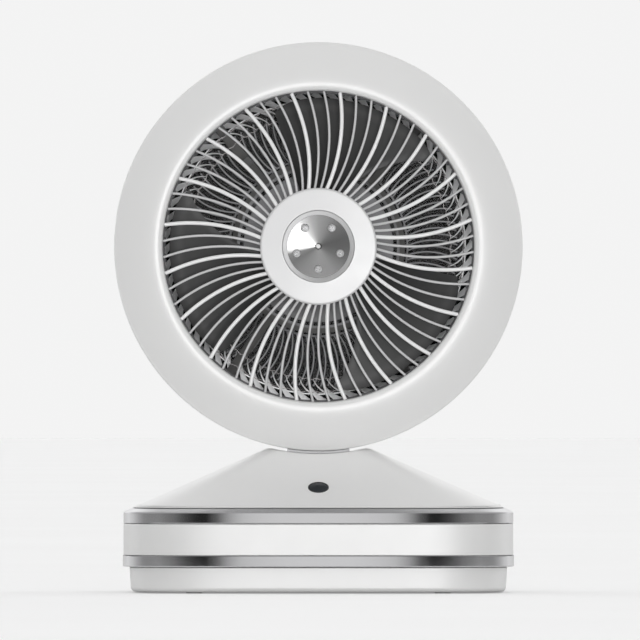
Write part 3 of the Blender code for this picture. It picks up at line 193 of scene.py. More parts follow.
def add_soft_box(shape, low, high, radius, steps=3):
    """A box with rounded edges, from its low corner to its high corner."""
    size = [b - a for a, b in zip(low, high)]
    centre = [(a + b) / 2 for a, b in zip(low, high)]
    made = bmesh.new()
    bmesh.ops.create_cube(made, size=1.0, matrix=Matrix.Translation(centre) @ Matrix.Diagonal((*size, 1.0)))
    if radius:
        bmesh.ops.bevel(
            made, geom=made.edges[:], offset=radius, segments=steps, profile=0.5, affect="EDGES",
            clamp_overlap=True,
        )
    held = bpy.data.meshes.new("held")
    made.to_mesh(held)
    made.free()
    shape.from_mesh(held)
    bpy.data.meshes.remove(held)


def plan_point(half, index):
    """A point of a rounded plan outline, in one of evenly spread directions."""
    angle = 2 * math.pi * (index + 0.5) / PLAN_STEPS
    across, along = math.cos(angle), math.sin(angle)
    total = abs(across / half[0]) ** PLAN_ROUNDNESS + abs(along / half[1]) ** PLAN_ROUNDNESS
    reach = total ** (-1 / PLAN_ROUNDNESS)
    return (reach * across, reach * along)


def plan_ring(half, height):
    return [(*plan_point(half, index), height) for index in range(PLAN_STEPS)]


def inset(half, amount):
    return (half[0] - amount, half[1] - amount)


def cut(piece, *tools):
    """Take helper objects away from a piece, and remove the helpers."""
    for tool in tools:
        step = piece.modifiers.new("cut", "BOOLEAN")
        step.operation = "DIFFERENCE"
        step.object = tool
        step.solver = "EXACT"
    bpy.context.view_layer.update()
    made = bpy.data.meshes.new_from_object(piece.evaluated_get(bpy.context.evaluated_depsgraph_get()))
    old = piece.data
    piece.modifiers.clear()
    piece.data = made
    bpy.data.meshes.remove(old)
    for tool in tools:
        held = tool.data
        bpy.data.objects.remove(tool)
        bpy.data.meshes.remove(held)


def tool_object(shape, place=None):
    """A helper solid for a cut, which the cut removes again."""
    bmesh.ops.recalc_face_normals(shape, faces=shape.faces)
    if place is not None:
        bmesh.ops.transform(shape, matrix=place, verts=shape.verts)
    data = bpy.data.meshes.new("tool")
    shape.to_mesh(data)
    shape.free()
    tool = bpy.data.objects.new("tool", data)
    bpy.context.scene.collection.objects.link(tool)
    return tool


def rod_tool(radius, low, high, place, segments=48):
    """A helper rod along z, sized in millimetres, for a cut."""
    shape = bmesh.new()
    add_turned(shape, mm((radius, high), (radius, low), (0.0, low), (0.0, high)), segments)
    return tool_object(shape, place)


def box_tool(low, high, radius, steps=3, place=None):
    """A helper box with soft edges, sized in millimetres, for a cut."""
    shape = bmesh.new()
    add_soft_box(shape, *mm(low, high), radius * MM, steps)
    return tool_object(shape, place)


# Materials
class Finish:
    """A material with one shader, and short calls to add nodes to it."""

    def __init__(self, name):
        self.material = bpy.data.materials.new(name)
        self.material.use_nodes = True
        self.tree = self.material.node_tree
        self.shader = self.tree.nodes["Principled BSDF"]

    def add(self, kind, inputs=None, **settings):
        node = self.tree.nodes.new("ShaderNode" + kind)
        for key, value in settings.items():
            setattr(node, key, value)
        for socket, value in (inputs or {}).items():
            self.put(node, socket, value)
        return node

    def put(self, node, socket, value):
        if isinstance(value, bpy.types.NodeSocket):
            self.tree.links.new(value, node.inputs[socket])
        else:
            node.inputs[socket].default_value = value

    def set(self, **values):
        for key, value in values.items():
            self.put(self.shader, key.replace("_", " "), value)
        return self

    def place(self, scale=(1.0, 1.0, 1.0)):
        """Object coordinates stretched by a scale."""
        return self.add("Mapping", {"Vector": self.where(), "Scale": scale}).outputs["Vector"]

    def noise(self, scale, detail=2.0, where=None, rough=0.5):
        inputs = {"Vector": where or self.place(), "Scale": scale, "Detail": detail, "Roughness": rough}
        return self.add("TexNoise", inputs).outputs["Fac"]

    def ramp(self, factor, *stops):
        """Colours or greys at positions along a factor."""
        node = self.add("ValToRGB", {"Fac": factor})
        elements = node.color_ramp.elements
        while len(elements) < len(stops):
            elements.new(0.5)
        for element, (position, value) in zip(elements, stops):
            colour = value if isinstance(value, tuple) else (value, value, value)
            element.position = position
            element.color = (*colour, 1.0)
        return node.outputs["Color"]

    def where(self):
        """Object coordinates in metres."""
        return self.add("TexCoord").outputs["Object"]

    def share(self, value, low, high):
        """A value's place between two limits, from 0 to 1."""
        return self.add("MapRange", {"Value": value, "From Min": low, "From Max": high}).outputs["Result"]

    def reach(self, where):
        """The distance from an axis along y."""
        flat = self.add("VectorMath", {0: where, 1: (1.0, 0.0, 1.0)}, operation="MULTIPLY").outputs["Vector"]
        return self.add("VectorMath", {0: flat}, operation="LENGTH").outputs["Value"]

    def spread(self, factor, low, high):
        """A factor stretched between two values."""
        return self.add("MapRange", {"Value": factor, "To Min": low, "To Max": high}).outputs["Result"]

    def bump(self, height, distance, strength=1.0, before=None):
        inputs = {"Height": height, "Distance": distance, "Strength": strength}
        if before is not None:
            inputs["Normal"] = before
        return self.add("Bump", inputs).outputs["Normal"]


def tinted(colour, share):
    return tuple(channel * share for channel in colour)


def plastic(name, colour, rough, grain, grain_depth, coat=0.0, wave=0.00003, spread=0.04, ior=1.49):
    """Moulded plastic: faint clouds of colour, a fine grain and the slow waves of a moulding."""
    made = Finish(name)
    clouds = made.noise(14.0, 3.0)
    fine = made.noise(grain, 4.0, rough=0.6)
    slow = made.noise(38.0, 1.0)
    colours = made.ramp(clouds, (0.3, tinted(colour, 1 - spread)), (0.7, colour))
    bump = made.bump(slow, wave)
    bump = made.bump(fine, grain_depth, before=bump)
    made.set(
        Base_Color=colours,
        Roughness=made.spread(made.noise(90.0, 5.0), rough * 0.8, rough * 1.2),
        Normal=bump,
        Coat_Weight=coat,
        Coat_Roughness=0.38,
        Coat_IOR=1.75,
        IOR=ior,
    )
    return made.material


def metal(name, colour, rough, stretch=(1.0, 1.0, 1.0), scale=900.0, depth=0.000004, spread=0.12):
    """Metal with fine marks, which a stretch draws out along one direction, and faint smudges."""
    made = Finish(name)
    marks = made.noise(scale, 4.0, made.place(stretch), 0.6)
    smudges = made.noise(30.0, 4.0)
    colours = made.ramp(smudges, (0.3, tinted(colour, 1 - spread)), (0.7, colour))
    made.set(
        Base_Color=colours,
        Metallic=1.0,
        Roughness=made.spread(made.noise(60.0, 5.0, rough=0.65), rough * 0.65, rough * 1.35),
        Normal=made.bump(marks, depth),
    )
    return made.material


def band_chrome():
    """Chrome plate, mirror-bright on upright faces and satin on the slope."""
    made = Finish("chrome_band")
    facing = made.add("TexCoord").outputs["Normal"]
    up = made.add("SeparateXYZ", {"Vector": facing}).outputs["Z"]
    slope = made.share(up, 0.25, 0.35)
    marks = made.spread(made.noise(60.0, 5.0, rough=0.65), 0.7, 1.3)
    rough = made.add("Math", {0: made.spread(slope, 0.055, 0.34), 1: marks}, operation="MULTIPLY")
    made.set(
        Base_Color=made.ramp(made.noise(30.0, 4.0), (0.3, (0.83, 0.83, 0.84)), (0.7, (0.86, 0.86, 0.875))),
        Metallic=1.0,
        Roughness=rough.outputs["Value"],
        Normal=made.bump(made.noise(220.0, 4.0, rough=0.6), 0.000002),
    )
    return made.material


def turned_metal(name, colour, rough, pitch, depth):
    """Metal turned or spun about y, with fine rings about its own middle."""
    made = Finish(name)
    rings = made.add("CombineXYZ", {"X": made.reach(made.where())}).outputs["Vector"]
    marks = made.noise(1 / pitch, 3.0, rings, 0.7)
    made.set(
        Base_Color=made.ramp(marks, (0.3, tinted(colour, 0.86)), (0.7, colour)),
        Metallic=1.0,
        Roughness=made.spread(marks, rough * 0.8, rough * 1.2),
        Normal=made.bump(marks, depth),
        Anisotropic=0.85,
        Tangent=made.add("Tangent", direction_type="RADIAL", axis="Y").outputs["Tangent"],
    )
    return made.material


# Levels of the badge's painted reflection, a sheen painted into its colour, by direction in degrees,
# anticlockwise from its right
BADGE_PAINTED_SHEEN = 0.42
PAINTED_SHEEN_WEDGES = (
    (-180, 1.0), (-173, 0.80), (-165, 0.19), (-148, 0.14), (-125, 0.20), (-90, 0.25), (-60, 0.24),
    (-25, 0.135), (0, 0.105), (18, 0.095), (45, 0.13), (65, 0.19), (90, 0.25), (105, 0.33), (122, 0.52),
    (136, 0.90), (150, 1.0), (179, 1.0),
)


def badge_finish():
    """Spun metal with painted wedges of light and shade: a reflection painted into its colour by direction
    about its middle.
    """
    made = Finish("badge_spun_painted_sheen")
    split = made.add("SeparateXYZ", {"Vector": made.where()})
    across, up = split.outputs["X"], split.outputs["Z"]
    angle = made.add("Math", {0: up, 1: across}, operation="ARCTAN2").outputs["Value"]
    share = made.share(angle, -math.pi, math.pi)
    flat = made.add("CombineXYZ", {"X": across, "Z": up}).outputs["Vector"]
    reach = made.add("VectorMath", {0: flat}, operation="LENGTH").outputs["Value"]
    rings = made.add("CombineXYZ", {"X": reach}).outputs["Vector"]
    marks = made.noise(2800.0, 3.0, rings, 0.7)
    stops = [((degrees + 180) / 360, BADGE_PAINTED_SHEEN * level) for degrees, level in PAINTED_SHEEN_WEDGES]
    # Painted reflection: the colour's level is set by direction about the badge's middle
    wedges = made.ramp(share, *stops)
    grain = made.ramp(marks, (0.3, 0.90), (0.7, 1.0))
    mixed = made.add("MixRGB", {"Fac": 1.0, "Color1": wedges, "Color2": grain}, blend_type="MULTIPLY")
    made.set(
        Base_Color=mixed.outputs["Color"],
        Metallic=1.0,
        Roughness=made.spread(marks, 0.26, 0.36),
        Normal=made.bump(marks, 0.000004),
    )
    return made.material


def mottled_metal(name, colour, rough):
    """Zinc-plated sheet, with the faint patches of its plating."""
    made = Finish(name)
    cells = made.add("TexVoronoi", {"Vector": made.place(), "Scale": 160.0}).outputs["Color"]
    level = made.add("SeparateColor", {"Color": cells}).outputs["Red"]
    made.set(
        Base_Color=made.ramp(level, (0.0, tinted(colour, 0.85)), (1.0, colour)),
        Metallic=1.0,
        Roughness=made.spread(made.noise(45.0, 4.0), rough * 0.75, rough * 1.3),
        Normal=made.bump(made.noise(1500.0, 3.0), 0.000004),
    )
    return made.material


def board_finish():
    """A circuit board: solder mask with paler tracks under it."""
    made = Finish("board_green")
    tracks = made.add(
        "TexBrick",
        {"Vector": made.place(), "Scale": 260.0, "Mortar Size": 0.06, "Color1": (0.0, 0.0, 0.0, 1.0),
         "Color2": (0.3, 0.3, 0.3, 1.0), "Mortar": (1.0, 1.0, 1.0, 1.0)},
    ).outputs["Color"]
    made.set(
        Base_Color=made.ramp(tracks, (0.0, (0.02, 0.11, 0.045)), (1.0, (0.08, 0.30, 0.13))),
        Roughness=made.spread(made.noise(80.0), 0.3, 0.45),
        Normal=made.bump(tracks, 0.00003),
    )
    return made.material


def lens_finish():
    """Dark, polished acrylic that lets infrared through."""
    made = Finish("lens_smoke")
    made.set(
        Base_Color=made.ramp(made.noise(60.0), (0.3, (0.022, 0.026, 0.030)), (0.7, (0.034, 0.038, 0.042))),
        Roughness=made.spread(made.noise(140.0, 4.0), 0.10, 0.18),
        Normal=made.bump(made.noise(50.0), 0.00002),
        IOR=1.49,
        Specular_IOR_Level=0.3,
    )
    return made.material


def blade_finish():
    """Dark moulded plastic, a shade lighter towards the blades' tips."""
    made = Finish("blade_dark")
    middle = made.add("VectorMath", {0: made.where(), 1: HEAD_PLACE}, operation="SUBTRACT").outputs["Vector"]
    share = made.share(made.reach(middle), 0.034, 0.113)
    clouds = made.spread(made.noise(20.0, 3.0), -0.02, 0.02)
    mixed = made.add("Math", {0: share, 1: clouds}, operation="ADD").outputs["Value"]
    made.set(
        Base_Color=made.ramp(mixed, (0.0, 0.036), (0.55, 0.052), (0.86, 0.066), (0.92, 0.092), (1.0, 0.074)),
        Roughness=made.spread(made.noise(120.0, 4.0), 0.38, 0.55),
        Normal=made.bump(made.noise(1800.0, 3.0), 0.00001),
        IOR=1.5,
    )
    return made.material


WHITE = plastic("white_gloss", (0.845, 0.845, 0.84), 0.40, 2600.0, 0.0000015, coat=1.0, spread=0.012)
# Painted shade: a darker copy of the white gloss, which tones down how bright the band is lit
BAND_WHITE_PAINTED_SHADE = plastic("white_band_painted_shade", (0.78, 0.78, 0.775), 0.40, 2600.0, 0.0000015, coat=1.0, spread=0.012)
SPOKE_WHITE = plastic("white_spokes", (0.86, 0.86, 0.86), 0.24, 2600.0, 0.000002, coat=0.15, spread=0.012)
# Painted shade: the fine spokes are the broad spokes' white plastic, painted grey for the shade of their
# set-back place
FINE_SPOKE_PAINTED_SHADE = plastic("white_spokes_painted_shade", (0.56, 0.56, 0.565), 0.30, 2600.0, 0.000002, coat=0.3, spread=0.015)
# Painted shade: a darker copy of the white gloss, which tones down how bright the hub cap is lit
HUB_WHITE_PAINTED_SHADE = plastic("white_hub_painted_shade", (0.70, 0.70, 0.705), 0.34, 2600.0, 0.000002, coat=1.0, spread=0.015)
MATTE_WHITE = plastic("white_matte", (0.72, 0.72, 0.70), 0.55, 1400.0, 0.00001, spread=0.05)
GREY = plastic("grey_satin", (0.40, 0.40, 0.41), 0.42, 2200.0, 0.000012, spread=0.05)
NECK_GREY = plastic("grey_neck", (0.64, 0.64, 0.65), 0.42, 2200.0, 0.000012, spread=0.05)
REAR_GREY = plastic("grey_rear", (0.25, 0.25, 0.255), 0.45, 2200.0, 0.00001, spread=0.05)
REAR_HUB_GREY = plastic("grey_rear_hub", (0.19, 0.19, 0.195), 0.45, 2200.0, 0.00001, spread=0.05)
VANE_GREY = plastic("grey_vanes", (0.85, 0.85, 0.855), 0.40, 2200.0, 0.00001, spread=0.05)
# Dark grey of the duct, also used as painted shade on the front grille's rim
DUCT_GREY_AND_RIM_SHADE = plastic("grey_duct_and_rim_shade", (0.12, 0.12, 0.125), 0.50, 2200.0, 0.00001, spread=0.06)
PANEL_GREY = plastic("grey_panel", (0.10, 0.10, 0.105), 0.40, 2600.0, 0.00001, spread=0.05)
KEY_GREY = plastic("grey_keys", (0.50, 0.50, 0.51), 0.36, 2600.0, 0.000006, spread=0.04)
DARK = plastic("dark_satin", (0.030, 0.030, 0.032), 0.38, 2400.0, 0.000008, spread=0.15)
NET_DARK = plastic("dark_net", (0.006, 0.006, 0.006), 0.60, 2400.0, 0.000004, spread=0.2, ior=1.15)
MICA = plastic("mica_board", (0.19, 0.188, 0.182), 0.62, 900.0, 0.00003, spread=0.3)
RUBBER = plastic("rubber_black", (0.022, 0.022, 0.022), 0.72, 1500.0, 0.00002, spread=0.2)
FOOT_GREY = plastic("rubber_grey", (0.80, 0.80, 0.80), 0.75, 1500.0, 0.00002, spread=0.08)
MARK_WHITE = plastic("mark_print", (0.88, 0.88, 0.88), 0.45, 1800.0, 0.000003)
BLADE = blade_finish()
CHROME = metal("chrome_plate", (0.86, 0.86, 0.875), 0.055, scale=220.0, depth=0.000002, spread=0.04)
BAND_CHROME = band_chrome()
STEEL = mottled_metal("steel_zinc", (0.52, 0.52, 0.54), 0.34)
RIBBON = metal("ribbon_steel", (0.26, 0.25, 0.25), 0.42, (1.0, 1.0, 6.0), 700.0, 0.00001, 0.3)
STUD_STEEL = metal("stud_steel", (0.60, 0.60, 0.605), 0.50, scale=1600.0, depth=0.000004)
SCREW_STEEL = metal("screw_steel", (0.80, 0.80, 0.81), 0.30, scale=1600.0, depth=0.000004)
BEZEL_STEEL = turned_metal("bezel_spun", (0.78, 0.78, 0.785), 0.55, 0.00025, 0.000005)
# The badge's colour carries a painted reflection
BADGE_STEEL_PAINTED_SHEEN = badge_finish()
ALUMINIUM = metal("aluminium_cast", (0.70, 0.70, 0.71), 0.30, scale=500.0, depth=0.00001)
BRASS = metal("brass_turned", (0.72, 0.50, 0.20), 0.28, (1.0, 1.0, 12.0), 400.0, 0.00001)
BOARD = board_finish()
LENS = lens_finish()

# CAD nodes that stay, by their material
CARRIED = {
    MATTE_WHITE: ("slide_ring", "fixed_gear", "turntable_plate", "pinion"),
    STEEL: (
        "ballast_plate", "base_screw_1", "base_screw_2", "pivot_spindle", "retaining_ring", "support_frame",
        "oscillation_motor", "motor_can", "stator", "tilt_bracket", "hinge_bolt", "motor_shaft",
    ),
    GREY: ("bottom_plate",),
    DARK: ("ir_receiver", "thermal_cutout"),
    BOARD: ("control_board",),
    BRASS: ("pivot_bush", "motor_bearing", "spinner_nut"),
    ALUMINIUM: ("motor_end_cap",),
    RUBBER: ("friction_washer_1", "friction_washer_2"),
}
for finish, names in CARRIED.items():
    for name in names:
        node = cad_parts[name]
        for place in node.material_slots:
            place.material = finish

# Head housing
HEAD_RADIUS = 155 * MM
HEAD_WALL = 2.5 * MM
CREST_RADIUS = 123.6 * MM
CREST_FRONT = 52 * MM
OPENING_RADIUS = 118 * MM
LIP_DROP = 6 * MM
LIP_POWER = 2 / 3
FACE_REACH = 29.4 * MM
FACE_DROP = 12 * MM
FACE_POWER = 1.6
RIM_FILLET = 2 * MM
RIM_FRONT = 38 * MM
RIM_SPLIT = 14 * MM
SEAM_INSET = 0.6 * MM
SEAM_HALF = 0.1 * MM
BACK_DEPTH = 52 * MM
BACK_OPENING_RADIUS = 119 * MM
BACK_FLANGE = 113.5 * MM
SHELL_CURVE = 2.2


def face_height(radius):
    """The ring's front face, falling from its crest to its rim."""
    share = max(radius - CREST_RADIUS, 0.0) / FACE_REACH
    return CREST_FRONT - FACE_DROP * share**FACE_POWER


def shell_radius(height):
    """The rear shell's outside, drawn in towards its back."""
    share = max(RIM_SPLIT - height, 0.0) / (RIM_SPLIT + BACK_DEPTH)
    return HEAD_RADIUS - (HEAD_RADIUS - BACK_OPENING_RADIUS) * share**SHELL_CURVE


def make_front_ring():
    outer = []
    for step in range(13):
        turn = math.radians(90 * step / 12)
        across, up = math.cos(turn) ** LIP_POWER, math.sin(turn) ** LIP_POWER
        lip = (CREST_RADIUS - OPENING_RADIUS) * across
        outer.append((CREST_RADIUS - lip, CREST_FRONT - LIP_DROP * (1 - up)))
    edge = HEAD_RADIUS - RIM_FILLET
    for step in range(1, 29):
        radius = CREST_RADIUS + (edge - CREST_RADIUS) * step / 28
        outer.append((radius, face_height(radius)))
    for step in range(1, 9):
        across, up = polar(RIM_FILLET, math.radians(65) * (1 - step / 8))
        outer.append((edge + across, RIM_FRONT + up))
    outer += [(HEAD_RADIUS, height) for height in (30 * MM, 20 * MM, RIM_SPLIT + 0.7 * MM)]
    outer += [(HEAD_RADIUS - SEAM_INSET, RIM_SPLIT + SEAM_HALF)]
    inner_rim = HEAD_RADIUS - HEAD_WALL
    inner = [(inner_rim, RIM_SPLIT + SEAM_HALF)]
    for radius in (inner_rim, 146 * MM, 138 * MM, 130 * MM, CREST_RADIUS):
        inner.append((radius, face_height(radius) - HEAD_WALL))
    inner += mm((120.5, 46), (120.5, 34), (118, 34))
    turned_piece("ring_front", outer + inner, WHITE, "head", "white_gloss", ("front_ring",), segments=256)


def make_rear_shell():
    front = RIM_SPLIT - 0.3 * MM
    heights = [front - 0.5 * MM - (front + BACK_DEPTH - 3 * MM) * step / 26 for step in range(27)]
    outer = [(HEAD_RADIUS - SEAM_INSET, front)]
    outer += [(shell_radius(height), height) for height in heights]
    last = shell_radius(heights[-1])
    fillet = (last - 1.2 * MM, -BACK_DEPTH, 1.6 * MM)
    outer += soft_path([(last, heights[-1], 0), fillet, (BACK_FLANGE, -BACK_DEPTH, 0)], False)[1:]
    inner = [(radius, -BACK_DEPTH + HEAD_WALL) for radius in (BACK_FLANGE, BACK_OPENING_RADIUS - 0.5 * MM)]
    inner += [(shell_radius(height) - HEAD_WALL, height) for height in heights[-3::-4]]
    inner += [(HEAD_RADIUS - HEAD_WALL, front)]
    path = outer + inner
    shell = turned_piece("shell_rear", path, WHITE, "head", "white_gloss", ("rear_shell",), segments=256)
    cut(shell, box_tool((-24.5, -7, 100), (24.5, 24.6, 124), 3, 5))


# Grilles, sized in millimetres and degrees
def add_ring(shape, inner, outer, low, high, soft_low=0.6, soft_high=0.4, segments=192):
    """A flat ring with soft edges."""
    outside = (outer, high, soft_high), (outer, low, soft_low)
    inside = (inner, low, soft_low), (inner, high, soft_high)
    add_turned(shape, soft_path(mm(*outside, *inside)), segments)


def add_bar(shape, degrees, inner, outer, bow, width, low, high, steps=14, round_points=5):
    """A bowed bar with rounded long edges. A positive bow bends it clockwise, seen from the front."""
    inner, outer, bow, width, low, high = (size * MM for size in (inner, outer, bow, width, low, high))
    angle = math.radians(degrees)
    along, side = polar(1.0, angle), (math.sin(angle), -math.cos(angle))
    half, half_depth = width / 2, (high - low) / 2
    fillet = 0.8 * min(half, half_depth)
    outline = []
    for quarter, (sign_x, sign_y) in enumerate(((1, 1), (-1, 1), (-1, -1), (1, -1))):
        for step in range(round_points):
            across, up = polar(fillet, math.pi / 2 * (quarter + step / (round_points - 1)))
            middle = (low + high) / 2 + sign_y * (half_depth - fillet)
            outline.append((sign_x * (half - fillet) + across, middle + up))
    sections = []
    for step in range(steps + 1):
        share = step / steps
        radius = inner + (outer - inner) * share
        offset = 4 * bow * share * (1 - share)
        slant = 4 * bow * (1 - 2 * share) / (outer - inner)
        length = math.hypot(1.0, slant)
        section = []
        for across, height in outline:
            reach, shift = radius - slant * across / length, offset + across / length
            section.append((along[0] * reach + side[0] * shift, along[1] * reach + side[1] * shift, height))
        sections.append(section)
    add_loft(shape, sections)


SLAT_WALL = 0.8 * MM
SLAT_BOW = 1.2 * MM
SLAT_STEPS = 6


def add_slat(shape, start, end, width, low, high):
    """A slanting louvre from one (radius, degrees) to another, leaning from a low to a high long edge."""
    first, last = (Vector(polar(radius * MM, math.radians(degrees))) for radius, degrees in (start, end))
    low, high = low * MM, high * MM
    run = last - first
    side = Vector((-run.y, run.x)).normalized()
    sections = []
    for step in range(SLAT_STEPS + 1):
        share = step / SLAT_STEPS
        middle = first + run * share + side * (4 * SLAT_BOW * share * (1 - share))
        half = side * (width * MM / 2 * (1 - 0.65 * share))
        near, far = middle + half, middle - half
        sections.append([(*near, high), (*far, low + SLAT_WALL), (*far, low), (*near, high - SLAT_WALL)])
    add_loft(shape, sections)


SPOKE_START, SPOKE_END, SPOKE_BOW = 43, 117.8, 5.4


def make_front_grille():
    kinds = (
        ("grille_spokes_broad", SPOKE_WHITE, (0,), 2.9, 41, 45.7),
        # The fine spokes' grey is painted shade
        ("grille_spokes_fine", FINE_SPOKE_PAINTED_SHADE, (1, 2), 1.9, 40, 44),
    )
    for name, material, turns, width, low, high in kinds:
        shape = bmesh.new()
        for number in range(60):
            if number % 3 in turns:
                add_bar(shape, 10 + number * 6, SPOKE_START, SPOKE_END, SPOKE_BOW, width, low, high)
        finish_piece(name, shape, material, "head", "grille_white", ("front_grille",), 60, HEAD_TURN)
    # Painted shade: the grille's white rim takes the duct's dark grey, standing for the shade under the ring's
    # lip
    rim = ((117.8, 40.6, 0.3), (117.8, 36, 0.3), (116.6, 36, 0.5), (116.6, 40.6, 0.5))
    soft_piece("grille_rim", rim, DUCT_GREY_AND_RIM_SHADE, "head", "grille_white", ("front_grille",), segments=224)
    disc = ((36, 45.7, 0.2), (44.1, 45.7, 0.2), (44.1, 38, 1), (36, 38, 1))
    soft_piece("grille_hub_ring", disc, SPOKE_WHITE, "head", "grille_white", ("front_grille",))


def make_screws(name, corners, material, radius, start, count, segments, node=None):
    """Equal screws spread round the head's axis from a start in degrees."""
    for number in range(count):
        spot = Matrix.Translation((*polar(radius * MM, math.radians(start + 360 * number / count)), 0.0))
        nodes = (f"{node}_{number + 1}",) if node else ()
        piece = f"{name}_{number + 1}"
        soft_piece(piece, corners, material, "head", "steel", nodes, segments=segments, place=HEAD_TURN @ spot)


def make_hub():
    cap = (
        (0.0, 47.4, 0), (27.4, 47.4, 0.2), (27.4, 49.7, 0.35), (44.3, 48.9, 1.5), (44.3, 45.8, 0.3),
        (0.0, 45.8, 0),
    )
    soft_piece("hub_cap_disc", cap, HUB_WHITE_PAINTED_SHADE, "head", "grille_white", ("hub_cap",), segments=192)
    bezel = ((23.8, 47.5, 0), (27.3, 47.5, 0), (27.3, 49.1, 0.1), (26.9, 49.25, 0.15), (23.8, 48.95, 0.1))
    soft_piece(
        "hub_bezel", bezel, BEZEL_STEEL, "head", "aluminium", segments=192, place=FORWARD, at=HEAD_PLACE
    )
    badge = mm(
        (0.0, 48.0), (1.9, 48.0), (2.5, 48.57), (6, 48.6), (12, 48.68), (18, 48.78), (23.2, 48.86),
        (23.76, 48.86), (23.76, 47.7), (0.0, 47.7),
    )
    turned_piece(
        "hub_badge_disc", badge, BADGE_STEEL_PAINTED_SHEEN, "head", "aluminium", ("hub_badge",),
        segments=192, place=FORWARD, at=HEAD_PLACE,
    )
    pip = ((0.0, 49.35, 0), (1.6, 49.3, 0.4), (1.6, 47.9, 0), (0.0, 47.9, 0))
    soft_piece("hub_pip", pip, MARK_WHITE, "head", "grille_white", segments=40)
    stud = (
        (0.0, 50.3, 0), (0.7, 50.3, 0.1), (1.0, 49.6, 0.1), (1.6, 49.6, 0.1), (1.9, 50.35, 0.15),
        (3.05, 50.15, 0.5), (3.1, 48.95, 0), (0.0, 48.95, 0),
    )
    make_screws("hub_stud", stud, STUD_STEEL, 17.3, -90, 5, 48, "hub_screw")


# Impeller and heater
HUB_RADIUS = 32.75 * MM
BLADE_RADIUS = 113 * MM
BLADE_ROUNDING = 6 * MM
BLADE_SPAN = (38, 34)
BLADE_LEAD = 108
BLADE_BACK = 33 * MM
BLADE_RISE = 22 * MM
BLADE_DROP = 1.6 * MM
BLADE_HALF = 0.8 * MM


def blade_point(turn, along, share):
    """A point of a blade, from its trailing to its leading edge and from root to tip."""
    corner = abs(2 * along - 1) ** 8
    radius = HUB_RADIUS + (BLADE_RADIUS - HUB_RADIUS) * share - BLADE_ROUNDING * corner * share**6
    span = math.radians(BLADE_SPAN[0] + BLADE_SPAN[1] * share)
    angle = turn + math.radians(BLADE_LEAD) - span * (1 - along)
    height = BLADE_BACK - BLADE_RISE * along**1.3 - BLADE_DROP * share
    return Vector((*polar(radius, angle), height))


def blade_normal(turn, along, share, small=0.001):
    across = blade_point(turn, min(along + small, 1), share) - blade_point(turn, max(along - small, 0), share)
    out = blade_point(turn, along, min(share + small, 1)) - blade_point(turn, along, max(share - small, 0))
    return across.cross(out).normalized()


def border(grid):
    """The edge pairs round a grid of points, in order."""
    loop = grid[0] + [line[-1] for line in grid[1:]] + grid[-1][-2::-1] + [line[0] for line in grid[-2:0:-1]]
    return list(zip(loop, loop[1:] + loop[:1]))


def make_impeller():
    rows, columns = 22, 30
    shape = bmesh.new()
    for number in range(3):
        turn = 2 * math.pi * number / 3
        sides = {1: [], -1: []}
        for row in range(rows + 1):
            lines = {1: [], -1: []}
            for column in range(columns + 1):
                share, along = row / rows, column / columns
                point, normal = blade_point(turn, along, share), blade_normal(turn, along, share)
                edge = min(along, 1 - along, (1 - share) * 0.9) / 0.03
                half = BLADE_HALF * (0.25 + 0.75 * math.sqrt(max(0.0, 1 - (1 - min(edge, 1.0)) ** 2)))
                for side, line in lines.items():
                    line.append(shape.verts.new(point + normal * side * half))
            for side, line in lines.items():
                sides[side].append(line)
        for grid in sides.values():
            for lower, upper in zip(grid, grid[1:]):
                for column in range(columns):
                    shape.faces.new((lower[column], upper[column], upper[column + 1], lower[column + 1]))
        for front, back in zip(border(sides[1]), border(sides[-1])):
            shape.faces.new((*front, *back[::-1]))
    finish_piece("impeller_blades", shape, BLADE, "blower", "dark_plastic", ("impeller",), 50, HEAD_TURN)
    hub = (
        (4.3, 35.5, 0), (34, 35.5, 4), (34, 12, 0.4), (31.5, 12, 0.4), (31.5, 33, 2), (8, 33, 1),
        (8, 20, 0.4), (4.3, 20, 0),
    )
    soft_piece("impeller_hub", hub, BLADE, "blower", "dark_plastic", ("impeller",), segments=96)


def make_heater():
    shape = bmesh.new()
    add_ring(shape, 62, 65.8, -14, -11, 0.3, 0.3, 128)
    for degrees in (50, 130, 235, 305):
        add_bar(shape, degrees, 63, 117.4, 0.0, 7.6, -13.7, -11.3, 2, 3)
    finish_piece("heater_board", shape, MICA, "head", "mica", ("heater_frame",), 40, HEAD_TURN)
    waves, points = 96, 960
    for name, middle in (("inner", 100.5), ("outer", 110.5)):
        sections = []
        for step in range(points):
            angle = 2 * math.pi * step / points
            reach = middle + 0.5 * math.sin(waves * angle)
            sections.append([
                (*polar((reach + edge) * MM, angle), height * MM)
                for edge, height in ((0.25, -11), (0.25, -5), (-0.25, -5), (-0.25, -11))
            ])
        shape = bmesh.new()
        add_loft(shape, sections, closed=True)
        nodes = (f"heater_ring_{name}",)
        finish_piece(f"heater_ribbon_{name}", shape, RIBBON, "head", "steel", nodes, 60, HEAD_TURN)
    duct = ((118, 33.7, 0.3), (120.5, 33.7, 0.3), (120.5, -45.8, 0.3), (118, -45.8, 0.3))
    soft_piece("duct_wall", duct, DUCT_GREY_AND_RIM_SHADE, "head", "grey_plastic", ("air_duct",), segments=192)


